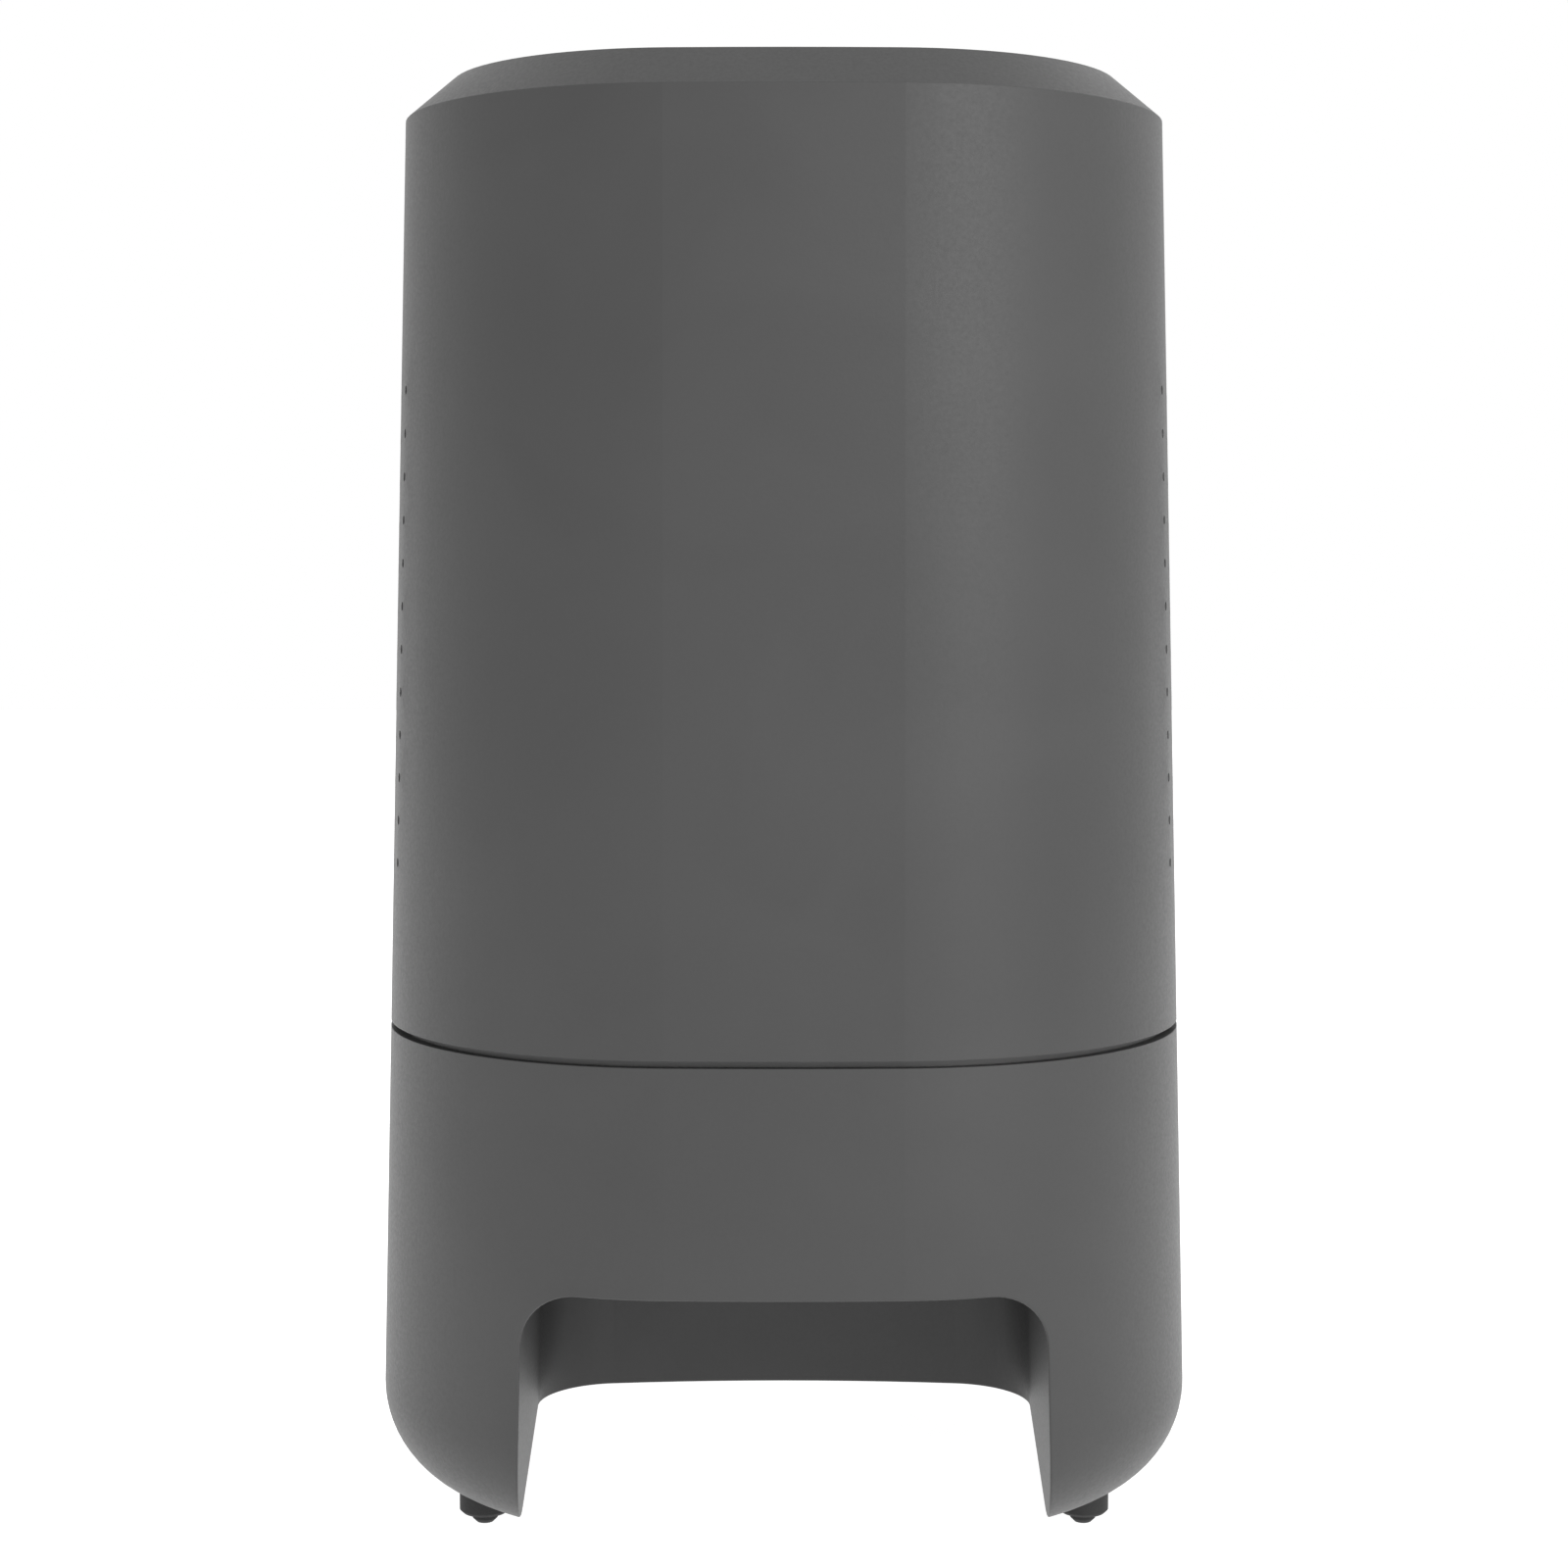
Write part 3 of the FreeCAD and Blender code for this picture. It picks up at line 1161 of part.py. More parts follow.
def electrics():
    case = rod("inlet_case", "dims.inlet_radius", "15", "0", "derived.inlet_face - 15",
               "derived.inlet_level", ALONG_Y)
    collar = rod("inlet_collar", "dims.inlet_radius + 2", "2.5", "0",
                 "derived.inlet_face - dims.wall - 2.5", "derived.inlet_level", ALONG_Y)
    bore = rod("inlet_bore_rod", "dims.inlet_bore", "dims.inlet_depth + 1", "0",
               "derived.inlet_face - dims.inlet_depth", "derived.inlet_level", ALONG_Y)
    node("power_inlet", cut("inlet_cut", fuse("inlet_fused", [case, collar]), bore))
    node("inlet_pin", rod("inlet_pin_rod", "dims.inlet_pin_radius", "dims.inlet_depth - 1", "0",
                          "derived.inlet_face - dims.inlet_depth", "derived.inlet_level", ALONG_Y))
    face = "-dims.sink_half_width - dims.bracket_thickness"
    low = "derived.sink_bottom + 0.8 * derived.sink_length"
    board = block("sensor_board", (face + " - dims.board_thickness", "dims.module_front - 4", low),
                  ("dims.board_thickness", "14", "20"))
    chip = block("sensor_chip", (face + " - dims.board_thickness - 3", "dims.module_front", low + " + 6"),
                 ("3", "6", "8"))
    node("humidity_sensor", fuse("sensor_fused", [board, chip]))
    node("tank_switch", block("reed_case", ("dims.float_x - 10", "dims.float_y + 20",
                                            "derived.plate_bottom - 6"), ("20", "12", "6")))


# Places shared by several pieces
derive("corner_post", "derived.corner_centre + (dims.corner_radius - dims.wall - 4.4) * sqrt(2) / 2")
derive("drain_y", "dims.module_front - dims.sink_base - dims.cold_fin / 2")
derive("plug_x", "dims.tank_half_width - dims.plug_edge")
derive("plug_y", "derived.tank_back - dims.plug_edge")
derive("float_level", "derived.tank_top - dims.float_drop")
derive("float_height", "derived.float_level - 8 - derived.tank_floor - dims.tank_wall"
       " - dims.float_floor_gap")

base_shell()
seam_band()
chassis_plate()
for end, sign_y in (("front", -1), ("rear", 1)):
    for side, sign_x in (("left", -1), ("right", 1)):
        foot("foot_%s_%s" % (end, side), sign_x, sign_y)
water_tank()
tank_lid()
float_pieces()
pour_plug()
tank_face()
upper_shell()
filters()
stack()
drip_tray()
fan_deck()
fan_frame()
fan_rotor()
fan_fixings()
top_panel()
controls()
electrics()
four_screws("base_screws", "dims.foot_along_x", "dims.foot_along_y", "derived.plate_top",
            "dims.plate_thickness + dims.base_screw_bite")
four_screws("shell_screws", "derived.corner_post", "derived.corner_post", "derived.plate_bottom",
            "dims.plate_thickness + dims.shell_screw_bite", head_up=False)

doc.recompute()
for item in doc.Objects:
    if "Invalid" in item.State or "Error" in item.State:
        raise ValueError("%s did not build: %s" % (item.Name, item.State))
for name, item in NODES.items():
    if item.Shape.isNull() or not item.Shape.isValid():
        raise ValueError(name + " has no valid shape")

os.makedirs("parts", exist_ok=True)
for name, item in sorted(NODES.items()):
    item.Shape.exportStep("parts/%s.step" % name)
    print("%-22s %d solids %10.0f mm3" % (name, len(item.Shape.Solids), item.Shape.Volume))
print(len(NODES), "sub-parts")
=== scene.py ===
import bmesh
import bpy
import json
import math
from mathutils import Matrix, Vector


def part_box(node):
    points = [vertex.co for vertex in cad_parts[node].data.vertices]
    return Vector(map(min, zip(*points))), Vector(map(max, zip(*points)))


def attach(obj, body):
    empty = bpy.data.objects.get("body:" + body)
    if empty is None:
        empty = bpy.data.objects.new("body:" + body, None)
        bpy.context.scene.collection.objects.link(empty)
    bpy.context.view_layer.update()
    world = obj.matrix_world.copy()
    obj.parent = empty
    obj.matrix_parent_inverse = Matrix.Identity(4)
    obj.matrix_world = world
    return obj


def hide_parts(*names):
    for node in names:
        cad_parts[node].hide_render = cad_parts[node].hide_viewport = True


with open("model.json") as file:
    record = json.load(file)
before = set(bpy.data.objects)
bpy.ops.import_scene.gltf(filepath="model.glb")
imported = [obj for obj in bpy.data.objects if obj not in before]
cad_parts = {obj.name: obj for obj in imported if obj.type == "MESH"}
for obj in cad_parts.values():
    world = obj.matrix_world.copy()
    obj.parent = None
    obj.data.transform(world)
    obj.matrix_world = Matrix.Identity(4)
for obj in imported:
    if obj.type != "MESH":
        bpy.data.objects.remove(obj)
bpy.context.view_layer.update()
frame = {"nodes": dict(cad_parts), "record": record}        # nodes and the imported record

mm = 0.001  # metres in a millimetre
nodes = frame["nodes"]


def linearColour(hexCode):
    # sRGB hex to the linear colour a shader takes
    parts = [int(hexCode[k:k + 2], 16) / 255 for k in (1, 3, 5)]
    return tuple(p / 12.92 if p <= 0.04045 else ((p + 0.055) / 1.055) ** 2.4 for p in parts) + (1.0,)


def addNode(tree, kind, settings=None, links=None, **inputs):
    # one shader node: its options, then what feeds its sockets, then plain socket values
    node = tree.nodes.new(kind)
    for key, value in (settings or {}).items():
        setattr(node, key, value)
    for key, value in inputs.items():
        node.inputs[key.replace("_", " ")].default_value = value
    for key, source in (links or {}).items():
        tree.links.new(source, node.inputs[key])
    return node


def startMaterial(name):
    material = bpy.data.materials.new(name)
    material.use_nodes = True
    tree = material.node_tree
    tree.nodes.clear()
    place = addNode(tree, "ShaderNodeTexCoord").outputs["Object"]
    return material, tree, place


def closeMaterial(tree, shader):
    addNode(tree, "ShaderNodeOutputMaterial", links={"Surface": shader.outputs[0]})


def spread(tree, source, low, high, start=0.3, end=0.7):
    # stretches a noise value onto the range a socket needs
    node = addNode(tree, "ShaderNodeMapRange", links={"Value": source}, From_Min=start, From_Max=end,
                   To_Min=low, To_Max=high)
    return node.outputs[0]


def blendColours(tree, amount, first, second):
    # amount is a socket; the two colours are sockets or hex codes
    node = addNode(tree, "ShaderNodeMix", {"data_type": "RGBA"}, {0: amount})
    for index, colour in ((6, first), (7, second)):
        if isinstance(colour, str):
            node.inputs[index].default_value = linearColour(colour)
        else:
            tree.links.new(colour, node.inputs[index])
    return node.outputs[2]


bevelSamples = 4
# how far the true and softened normals agree where wear is full, and where it ends
edgeAgreement = {"full": 0.75, "none": 0.995}


def edgeMask(tree, radiusMm):
    # 0 on flat faces, towards 1 within the radius of an edge; also the softened normal
    soft = addNode(tree, "ShaderNodeBevel", {"samples": bevelSamples}, Radius=radiusMm * mm)
    true = addNode(tree, "ShaderNodeNewGeometry")
    agree = addNode(tree, "ShaderNodeVectorMath", {"operation": "DOT_PRODUCT"},
                    {0: soft.outputs[0], 1: true.outputs["Normal"]})
    mask = spread(tree, agree.outputs["Value"], 1.0, 0.0, edgeAgreement["full"], edgeAgreement["none"])
    return mask, soft.outputs[0]


mouldFlow = {"cloudMm": 45, "detail": 3.0, "swirl": 0.6}
pitNoise = {"detail": 3.0, "falloff": 0.65}


def mouldedPlastic(name, look):
    # injection moulding: the tool's spark-eroded pits break the gloss into a soft, even sheen
    material, tree, place = startMaterial(name)
    pits = addNode(tree, "ShaderNodeTexNoise", links={"Vector": place}, Scale=1 / (look["grainMm"] * mm),
                   Detail=pitNoise["detail"], Roughness=pitNoise["falloff"]).outputs["Fac"]
    flow = addNode(tree, "ShaderNodeTexNoise", links={"Vector": place},
                   Scale=1 / (mouldFlow["cloudMm"] * mm), Detail=mouldFlow["detail"],
                   Distortion=mouldFlow["swirl"]).outputs["Fac"]
    edge, soft = edgeMask(tree, look["edgeMm"])
    even = blendColours(tree, spread(tree, flow, 0, 1), look["dark"], look["light"])
    worn = addNode(tree, "ShaderNodeMath", {"operation": "MULTIPLY"}, {0: edge})
    worn.inputs[1].default_value = look["wear"]
    colour = blendColours(tree, worn.outputs[0], even, look["edge"])
    rough = spread(tree, pits, look["roughness"] - look["roughSpread"],
                   look["roughness"] + look["roughSpread"])
    bump = addNode(tree, "ShaderNodeBump", links={"Height": pits, "Normal": soft},
                   Distance=look["depthMm"] * mm)
    shader = addNode(tree, "ShaderNodeBsdfPrincipled", IOR=look["ior"],
                     links={"Base Color": colour, "Roughness": rough, "Normal": bump.outputs[0]})
    closeMaterial(tree, shader)
    return material


metalSpread = 0.07
metalEdgeMm = 0.2


def platedMetal(name, look):
    # metal with its finish drawn out along one axis, as rolling, drawing or turning leaves it
    material, tree, place = startMaterial(name)
    line = addNode(tree, "ShaderNodeMapping", links={"Vector": place}, Scale=look["stretch"])
    streak = addNode(tree, "ShaderNodeTexNoise", links={"Vector": line.outputs[0]},
                     Scale=1 / (look["lineMm"] * mm), Detail=4.0).outputs["Fac"]
    stain = addNode(tree, "ShaderNodeTexNoise", links={"Vector": place}, Scale=1 / (look["cloudMm"] * mm),
                    Detail=3.0).outputs["Fac"]
    colour = blendColours(tree, spread(tree, stain, 0, 1), look["dark"], look["light"])
    rough = spread(tree, streak, look["roughness"] - metalSpread, look["roughness"] + metalSpread)
    soft = addNode(tree, "ShaderNodeBevel", {"samples": bevelSamples}, Radius=metalEdgeMm * mm)
    bump = addNode(tree, "ShaderNodeBump", links={"Height": streak, "Normal": soft.outputs[0]},
                   Distance=look["depthMm"] * mm)
    shader = addNode(tree, "ShaderNodeBsdfPrincipled", Metallic=1.0,
                     links={"Base Color": colour, "Roughness": rough, "Normal": bump.outputs[0]})
    closeMaterial(tree, shader)
    return material


foamJoint = 0.22  # share of a cell taken up by its darker joint
foamIor = 1.5


def cellularFoam(name, look):
    # expanded plastic: closed cells or fused beads show as shallow domes with darker joints
    material, tree, place = startMaterial(name)
    cells = addNode(tree, "ShaderNodeTexVoronoi", {"feature": "DISTANCE_TO_EDGE"}, {"Vector": place},
                    Scale=1 / (look["cellMm"] * mm)).outputs["Distance"]
    joint = spread(tree, cells, 0, 1, 0.0, foamJoint)
    colour = blendColours(tree, joint, look["dark"], look["light"])
    bump = addNode(tree, "ShaderNodeBump", links={"Height": joint}, Distance=look["depthMm"] * mm)
    shader = addNode(tree, "ShaderNodeBsdfPrincipled", IOR=foamIor, Roughness=look["roughness"],
                     links={"Base Color": colour, "Normal": bump.outputs[0]})
    closeMaterial(tree, shader)
    return material


clearFlow = {"cloudMm": 30, "detail": 2.0, "swirl": 1.2, "depthMm": 0.05}
clearScuff = {"sizeMm": 1.5, "detail": 5.0, "added": 0.08, "start": 0.5, "end": 0.75}


def clearMoulding(name, look):
    # polished tool, clear resin: sharp reflections, faint flow lines, tint that gathers with depth
    material, tree, place = startMaterial(name)
    flow = addNode(tree, "ShaderNodeTexNoise", links={"Vector": place},
                   Scale=1 / (clearFlow["cloudMm"] * mm), Detail=clearFlow["detail"],
                   Distortion=clearFlow["swirl"]).outputs["Fac"]
    scuff = addNode(tree, "ShaderNodeTexNoise", links={"Vector": place},
                    Scale=1 / (clearScuff["sizeMm"] * mm), Detail=clearScuff["detail"]).outputs["Fac"]
    colour = blendColours(tree, spread(tree, flow, 0, 1), look["dark"], look["light"])
    rough = spread(tree, scuff, look["roughness"], look["roughness"] + clearScuff["added"],
                   clearScuff["start"], clearScuff["end"])
    bump = addNode(tree, "ShaderNodeBump", links={"Height": flow}, Distance=clearFlow["depthMm"] * mm)
    shader = addNode(tree, "ShaderNodeBsdfPrincipled", IOR=look["ior"],
                     Transmission_Weight=look["clear"],
                     links={"Base Color": colour, "Roughness": rough, "Normal": bump.outputs[0]})
    closeMaterial(tree, shader)
    return material


waveUnit = 10  # at scale 1 the wave texture repeats every pi / 10
weave = {"fuzzMm": 6, "gapFrom": 0.35, "gapTo": 0.75, "ior": 1.53, "roughness": 0.55, "sheen": 0.2}


def wovenNylon(name, look):
    # plain weave: two sets of round threads pass over and under one another
    material, tree, place = startMaterial(name)
    bands = []
    for axis in ("Y", "Z"):
        wave = addNode(tree, "ShaderNodeTexWave", {"bands_direction": axis}, {"Vector": place},
                       Scale=math.pi / (waveUnit * look["threadMm"] * mm), Detail=0.0)
        bands.append(wave.outputs["Fac"])
    over = addNode(tree, "ShaderNodeMath", {"operation": "MAXIMUM"},
                   {0: bands[0], 1: bands[1]}).outputs[0]
    fuzz = addNode(tree, "ShaderNodeTexNoise", links={"Vector": place},
                   Scale=1 / (weave["fuzzMm"] * mm)).outputs["Fac"]
    thread = blendColours(tree, spread(tree, fuzz, 0, 1), look["dark"], look["light"])
    # painted shade: the open gaps between the threads get the near-black gap colour in place of what lies
    # behind them
    paintedGapShade = spread(tree, over, 1, 0, weave["gapFrom"], weave["gapTo"])
    colour = blendColours(tree, paintedGapShade, thread, look["gap"])
    bump = addNode(tree, "ShaderNodeBump", links={"Height": over}, Distance=look["depthMm"] * mm)
    shader = addNode(tree, "ShaderNodeBsdfPrincipled", IOR=weave["ior"],
                     Roughness=weave["roughness"], Sheen_Weight=weave["sheen"],
                     links={"Base Color": colour, "Normal": bump.outputs[0]})
    closeMaterial(tree, shader)
    return material


trackPattern = {"pitchMm": 9, "joint": 0.06, "blur": 0.1, "width": 0.9, "height": 0.35, "depthMm": 0.04}
lacquer = {"grainMm": 1.2, "smooth": 0.22, "rough": 0.36, "ior": 1.55}


def solderMask(name, look):
    # glass-epoxy board: glossy green lacquer over copper tracks that stand slightly proud
    material, tree, place = startMaterial(name)
    tracks = addNode(tree, "ShaderNodeTexBrick", {"offset": 0.37, "squash_frequency": 3}, {"Vector": place},
                     Scale=1 / (trackPattern["pitchMm"] * mm), Mortar_Size=trackPattern["joint"],
                     Mortar_Smooth=trackPattern["blur"], Brick_Width=trackPattern["width"],
                     Row_Height=trackPattern["height"]).outputs["Fac"]
    grain = addNode(tree, "ShaderNodeTexNoise", links={"Vector": place},
                    Scale=1 / (lacquer["grainMm"] * mm)).outputs["Fac"]
    colour = blendColours(tree, tracks, look["board"], look["track"])
    bump = addNode(tree, "ShaderNodeBump", links={"Height": tracks},
                   Distance=trackPattern["depthMm"] * mm)
    rough = spread(tree, grain, lacquer["smooth"], lacquer["rough"])
    shader = addNode(tree, "ShaderNodeBsdfPrincipled", IOR=lacquer["ior"],
                     links={"Base Color": colour, "Roughness": rough, "Normal": bump.outputs[0]})
    closeMaterial(tree, shader)
    return material


inkHazeMm = 0.8


def glowingInk(name, look):
    # printed ink or light-emitting segments: even colour, barely mottled, that may glow
    material, tree, place = startMaterial(name)
    haze = addNode(tree, "ShaderNodeTexNoise", links={"Vector": place},
                   Scale=1 / (inkHazeMm * mm)).outputs["Fac"]
    colour = blendColours(tree, spread(tree, haze, 0, 1), look["dark"], look["light"])
    shader = addNode(tree, "ShaderNodeBsdfPrincipled", IOR=1.5, Roughness=0.4,
                     Emission_Strength=look["glow"], links={"Base Color": colour, "Emission Color": colour})
    closeMaterial(tree, shader)
    return material


viewpoint = {"place": (0.0, -0.759, 0.2357), "downDegrees": 4.28, "lensMm": 67.16, "sensorMm": 36.0}
studio = {"world": 1.0, "floorColour": "#a6a6a6", "floorGlow": 0.97, "floorSize": 8.0}
# each lamp: where it stands, where it points, its side in metres and its power in watts
lamps = {
    "keyFrontRight": {"place": (0.55, -1.0, 0.95), "aim": (0, 0, 0.25), "size": 0.6, "watts": 0.6},
    "fillFrontRight": {"place": (0.62, -1.05, 0.55), "aim": (0, 0, 0.22), "size": 0.9, "watts": 2.5},
    "wideFrontRight": {"place": (0.75, -1.15, 0.75), "aim": (0, 0, 0.22), "size": 1.1, "watts": 5.4},
    "sideRight": {"place": (1.1, -0.35, 0.6), "aim": (0, 0, 0.2), "size": 0.7, "watts": 1.0},
    "rimBackRight": {"place": (0.9, 0.5, 0.95), "aim": (0, 0, 0.33), "size": 0.6, "watts": 2.0},
    "rimBackLeft": {"place": (-0.9, 0.5, 0.95), "aim": (0, 0, 0.33), "size": 0.6, "watts": 0.8},
}


def makeCamera():
    data = bpy.data.cameras.new("camera")
    data.lens = viewpoint["lensMm"]
    data.sensor_width = viewpoint["sensorMm"]
    data.clip_start = 0.01
    camera = bpy.data.objects.new("camera", data)
    bpy.context.scene.collection.objects.link(camera)
    camera.location = viewpoint["place"]
    camera.rotation_euler = (math.radians(90 - viewpoint["downDegrees"]), 0, 0)
    bpy.context.scene.camera = camera


def makeStudio():
    scene = bpy.context.scene
    scene.view_settings.view_transform = "Standard"
    world = bpy.data.worlds.new("studio")
    world.use_nodes = True
    sky = world.node_tree.nodes["Background"]
    sky.inputs["Color"].default_value = (1, 1, 1, 1)
    sky.inputs["Strength"].default_value = studio["world"]
    scene.world = world
    mesh = bpy.data.meshes.new("floor")
    half = studio["floorSize"] / 2
    mesh.from_pydata([(-half, -half, 0), (half, -half, 0), (half, half, 0), (-half, half, 0)], [],
                     [(0, 1, 2, 3)])
    floor = bpy.data.objects.new("floor", mesh)
    scene.collection.objects.link(floor)
    material, tree = startMaterial("backlitPaper")[:2]
    # translucent sweep lit from beneath, so the underside of the tower isn't lost
    shader = addNode(tree, "ShaderNodeBsdfPrincipled", Roughness=0.9, Emission_Strength=studio["floorGlow"])
    shader.inputs["Base Color"].default_value = linearColour(studio["floorColour"])
    shader.inputs["Emission Color"].default_value = (1, 1, 1, 1)
    closeMaterial(tree, shader)
    mesh.materials.append(material)
    for name, lamp in lamps.items():
        data = bpy.data.lights.new(name, "AREA")
        data.size = lamp["size"]
        data.energy = lamp["watts"]
        item = bpy.data.objects.new(name, data)
        scene.collection.objects.link(item)
        item.location = lamp["place"]
        aim = Vector(lamp["aim"]) - Vector(lamp["place"])
        item.rotation_euler = aim.to_track_quat("-Z", "Y").to_euler()


makeCamera()
makeStudio()
print("camera and studio done")

plastics = {
    # outer shells: acrylonitrile butadiene styrene, fine spark grain, satin
    "shell_plastic": ("absSparkGrain", {
        "dark": "#2e2e2e", "light": "#323232", "edge": "#4c4c4c", "grainMm": 0.9, "depthMm": 0.02,
        "roughness": 0.46, "roughSpread": 0.06, "ior": 1.52, "edgeMm": 0.35, "wear": 0.35}),
    # band behind the shadow gap: same resin from a smoother tool, its colour painted lighter than the shell
    # as painted light on the recessed lip
    "band_plastic": ("absSmoothPaintedLight", {
        "dark": "#434343", "light": "#4a4a4a", "edge": "#5c5c5c", "grainMm": 0.4, "depthMm": 0.004,
        "roughness": 0.38, "roughSpread": 0.04, "ior": 1.52, "edgeMm": 0.2, "wear": 0.2}),
    # top panel: same grain a shade darker
    "panel_plastic": ("absSparkGrainDark", {
        "dark": "#303031", "light": "#353536", "edge": "#555556", "grainMm": 0.55, "depthMm": 0.018,
        "roughness": 0.48, "roughSpread": 0.06, "ior": 1.52, "edgeMm": 0.3, "wear": 0.35}),
    # inside frames: polypropylene, slightly waxy
    "inner_plastic": ("polypropyleneMoulded", {
        "dark": "#2b2b2c", "light": "#323233", "edge": "#484849", "grainMm": 0.9, "depthMm": 0.012,
        "roughness": 0.5, "roughSpread": 0.05, "ior": 1.49, "edgeMm": 0.3, "wear": 0.2}),
    # feet and plug: nitrile rubber, dull, slightly powdery
    "foot_rubber": ("nitrileMoulded", {
        "dark": "#171717", "light": "#1e1e1e", "edge": "#2c2c2c", "grainMm": 0.35, "depthMm": 0.02,
        "roughness": 0.72, "roughSpread": 0.07, "ior": 1.52, "edgeMm": 0.5, "wear": 0.3}),
    # fan: glass-filled polybutylene, fibre ends roughen the skin
    "fan_plastic": ("glassFilledPolyester", {
        "dark": "#18181a", "light": "#202022", "edge": "#333336", "grainMm": 0.25, "depthMm": 0.02,
        "roughness": 0.42, "roughSpread": 0.1, "ior": 1.57, "edgeMm": 0.3, "wear": 0.25}),
    # tank lid: smooth satin
    "lid_plastic": ("absSatin", {
        "dark": "#3a3a3b", "light": "#404041", "edge": "#5b5b5c", "grainMm": 0.7, "depthMm": 0.008,
        "roughness": 0.36, "roughSpread": 0.05, "ior": 1.52, "edgeMm": 0.3, "wear": 0.3}),
    # button caps: polished a little by fingers
    "button_plastic": ("absPolishedCap", {
        "dark": "#3b3b3c", "light": "#424243", "edge": "#6a6a6b", "grainMm": 0.4, "depthMm": 0.006,
        "roughness": 0.32, "roughSpread": 0.06, "ior": 1.52, "edgeMm": 0.35, "wear": 0.45}),
    # switches and inlet: nylon, dry and slightly cloudy
    "switch_plastic": ("nylonMoulded", {
        "dark": "#1c1c1d", "light": "#242425", "edge": "#3a3a3b", "grainMm": 0.3, "depthMm": 0.01,
        "roughness": 0.45, "roughSpread": 0.05, "ior": 1.53, "edgeMm": 0.2, "wear": 0.2}),
    # display block: polycarbonate, even and dark so the segments stand out
    "display_plastic": ("polycarbonateBezel", {
        "dark": "#202122", "light": "#262728", "edge": "#3a3b3c", "grainMm": 0.3, "depthMm": 0.006,
        "roughness": 0.4, "roughSpread": 0.05, "ior": 1.58, "edgeMm": 0.2, "wear": 0.1}),
    # alumina plates: fired, very fine grained, faintly translucent white
    "module_ceramic": ("aluminaFired", {
        "dark": "#dcdad3", "light": "#efeee9", "edge": "#f5f4f0", "grainMm": 0.2, "depthMm": 0.006,
        "roughness": 0.42, "roughSpread": 0.08, "ior": 1.76, "edgeMm": 0.2, "wear": 0.1}),
}
metals = {
    # heat sinks: extruded along Z, die lines run the length of each fin
    "sink_aluminium": ("aluminiumExtruded", {
        "dark": "#c4c6c8", "light": "#dfe1e3", "stretch": (1, 1, 0.03), "lineMm": 0.5, "cloudMm": 14,
        "roughness": 0.34, "depthMm": 0.02}),
    # brackets: rolled sheet, bright zinc with faint bloom
    "bracket_steel": ("steelZincSheet", {
        "dark": "#a9adb1", "light": "#c6cacd", "stretch": (1, 1, 0.1), "lineMm": 0.8, "cloudMm": 6,
        "roughness": 0.4, "depthMm": 0.01}),
    # screws: bright zinc plate, clouded by handling
    "screw_steel": ("steelZincScrew", {
        "dark": "#9ea2a6", "light": "#c2c6c9", "stretch": (1, 1, 1), "lineMm": 0.4, "cloudMm": 2,
        "roughness": 0.3, "depthMm": 0.01}),
    # centre pin: turned brass, fine rings across its length
    "contact_brass": ("brassTurned", {
        "dark": "#c9a14a", "light": "#e2bf6c", "stretch": (0.1, 1, 0.1), "lineMm": 0.3, "cloudMm": 3,
        "roughness": 0.24, "depthMm": 0.01}),
    # float magnet: nickel plate, warm and mirror-like
    "magnet": ("nickelPlated", {
        "dark": "#b8b4aa", "light": "#d3cfc6", "stretch": (1, 1, 1), "lineMm": 0.6, "cloudMm": 3,
        "roughness": 0.2, "depthMm": 0.006}),
}
foams = {
    # gasket round the module: closed-cell polyethylene, dull and finely pocked
    "foam": ("polyethyleneFoam", {
        "dark": "#1f1f21", "light": "#313134", "cellMm": 1.1, "depthMm": 0.12, "roughness": 0.8}),
    # float: fused polystyrene beads, white with faint joints
    "float_foam": ("polystyreneBead", {
        "dark": "#deddd7", "light": "#e9e8e3", "cellMm": 2.6, "depthMm": 0.15, "roughness": 0.6}),
}
clears = {
    # tank: styrene acrylonitrile with a smoke tint
    "tank_plastic": ("sanClearSmoke", {
        "dark": "#999ea3", "light": "#a0a5aa", "roughness": 0.06, "ior": 1.57, "clear": 0.92}),
    # display lens: smoked acrylic
    "lens_acrylic": ("acrylicSmoked", {
        "dark": "#55575b", "light": "#5c5e62", "roughness": 0.09, "ior": 1.49, "clear": 0.9}),
}
finishes = {}
for table, maker in ((plastics, mouldedPlastic), (metals, platedMetal), (foams, cellularFoam),
                     (clears, clearMoulding)):
    for slotName, (materialName, look) in table.items():
        finishes[slotName] = maker(materialName, look)
# intake filters: nylon plain weave, dark, its open gaps filled with near-black painted shade
finishes["filter_fabric"] = wovenNylon("nylonPlainWeave", {
    "dark": "#1b1b1c", "light": "#262628", "gap": "#060606", "threadMm": 0.8, "depthMm": 0.15})
# boards: green solder mask over glass epoxy
finishes["board_laminate"] = solderMask("epoxySolderMask", {"board": "#0d3b22", "track": "#1c5a36"})
print(len(finishes), "finishes made")

for part in frame["record"]["subparts"]:
    item = nodes[part["node"]]
    item.data.materials.clear()
    item.data.materials.append(finishes[part["material_slot"]])
print(len(nodes), "nodes dressed")


def addPiece(name, mesh, body, slotName, material=None):
    # a new piece in the row frame, riding on a body
    mesh.materials.append(material or finishes[slotName])
    item = bpy.data.objects.new(name, mesh)
    bpy.context.scene.collection.objects.link(item)
    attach(item, body)
    return item


def meshFrom(name, form):
    mesh = bpy.data.meshes.new(name)
    bmesh.ops.recalc_face_normals(form, faces=form.faces)
    form.to_mesh(mesh)
    form.free()
    return mesh


def slab(form, outline, low, high):
    # closed prism from a plan outline given counter-clockwise
    rings = [[form.verts.new((x, y, z)) for x, y in outline] for z in (low, high)]
    count = len(outline)
    form.faces.new(rings[0][::-1])
    form.faces.new(rings[1])
    for k in range(count):
        n = (k + 1) % count
        form.faces.new((rings[0][k], rings[0][n], rings[1][n], rings[1][k]))


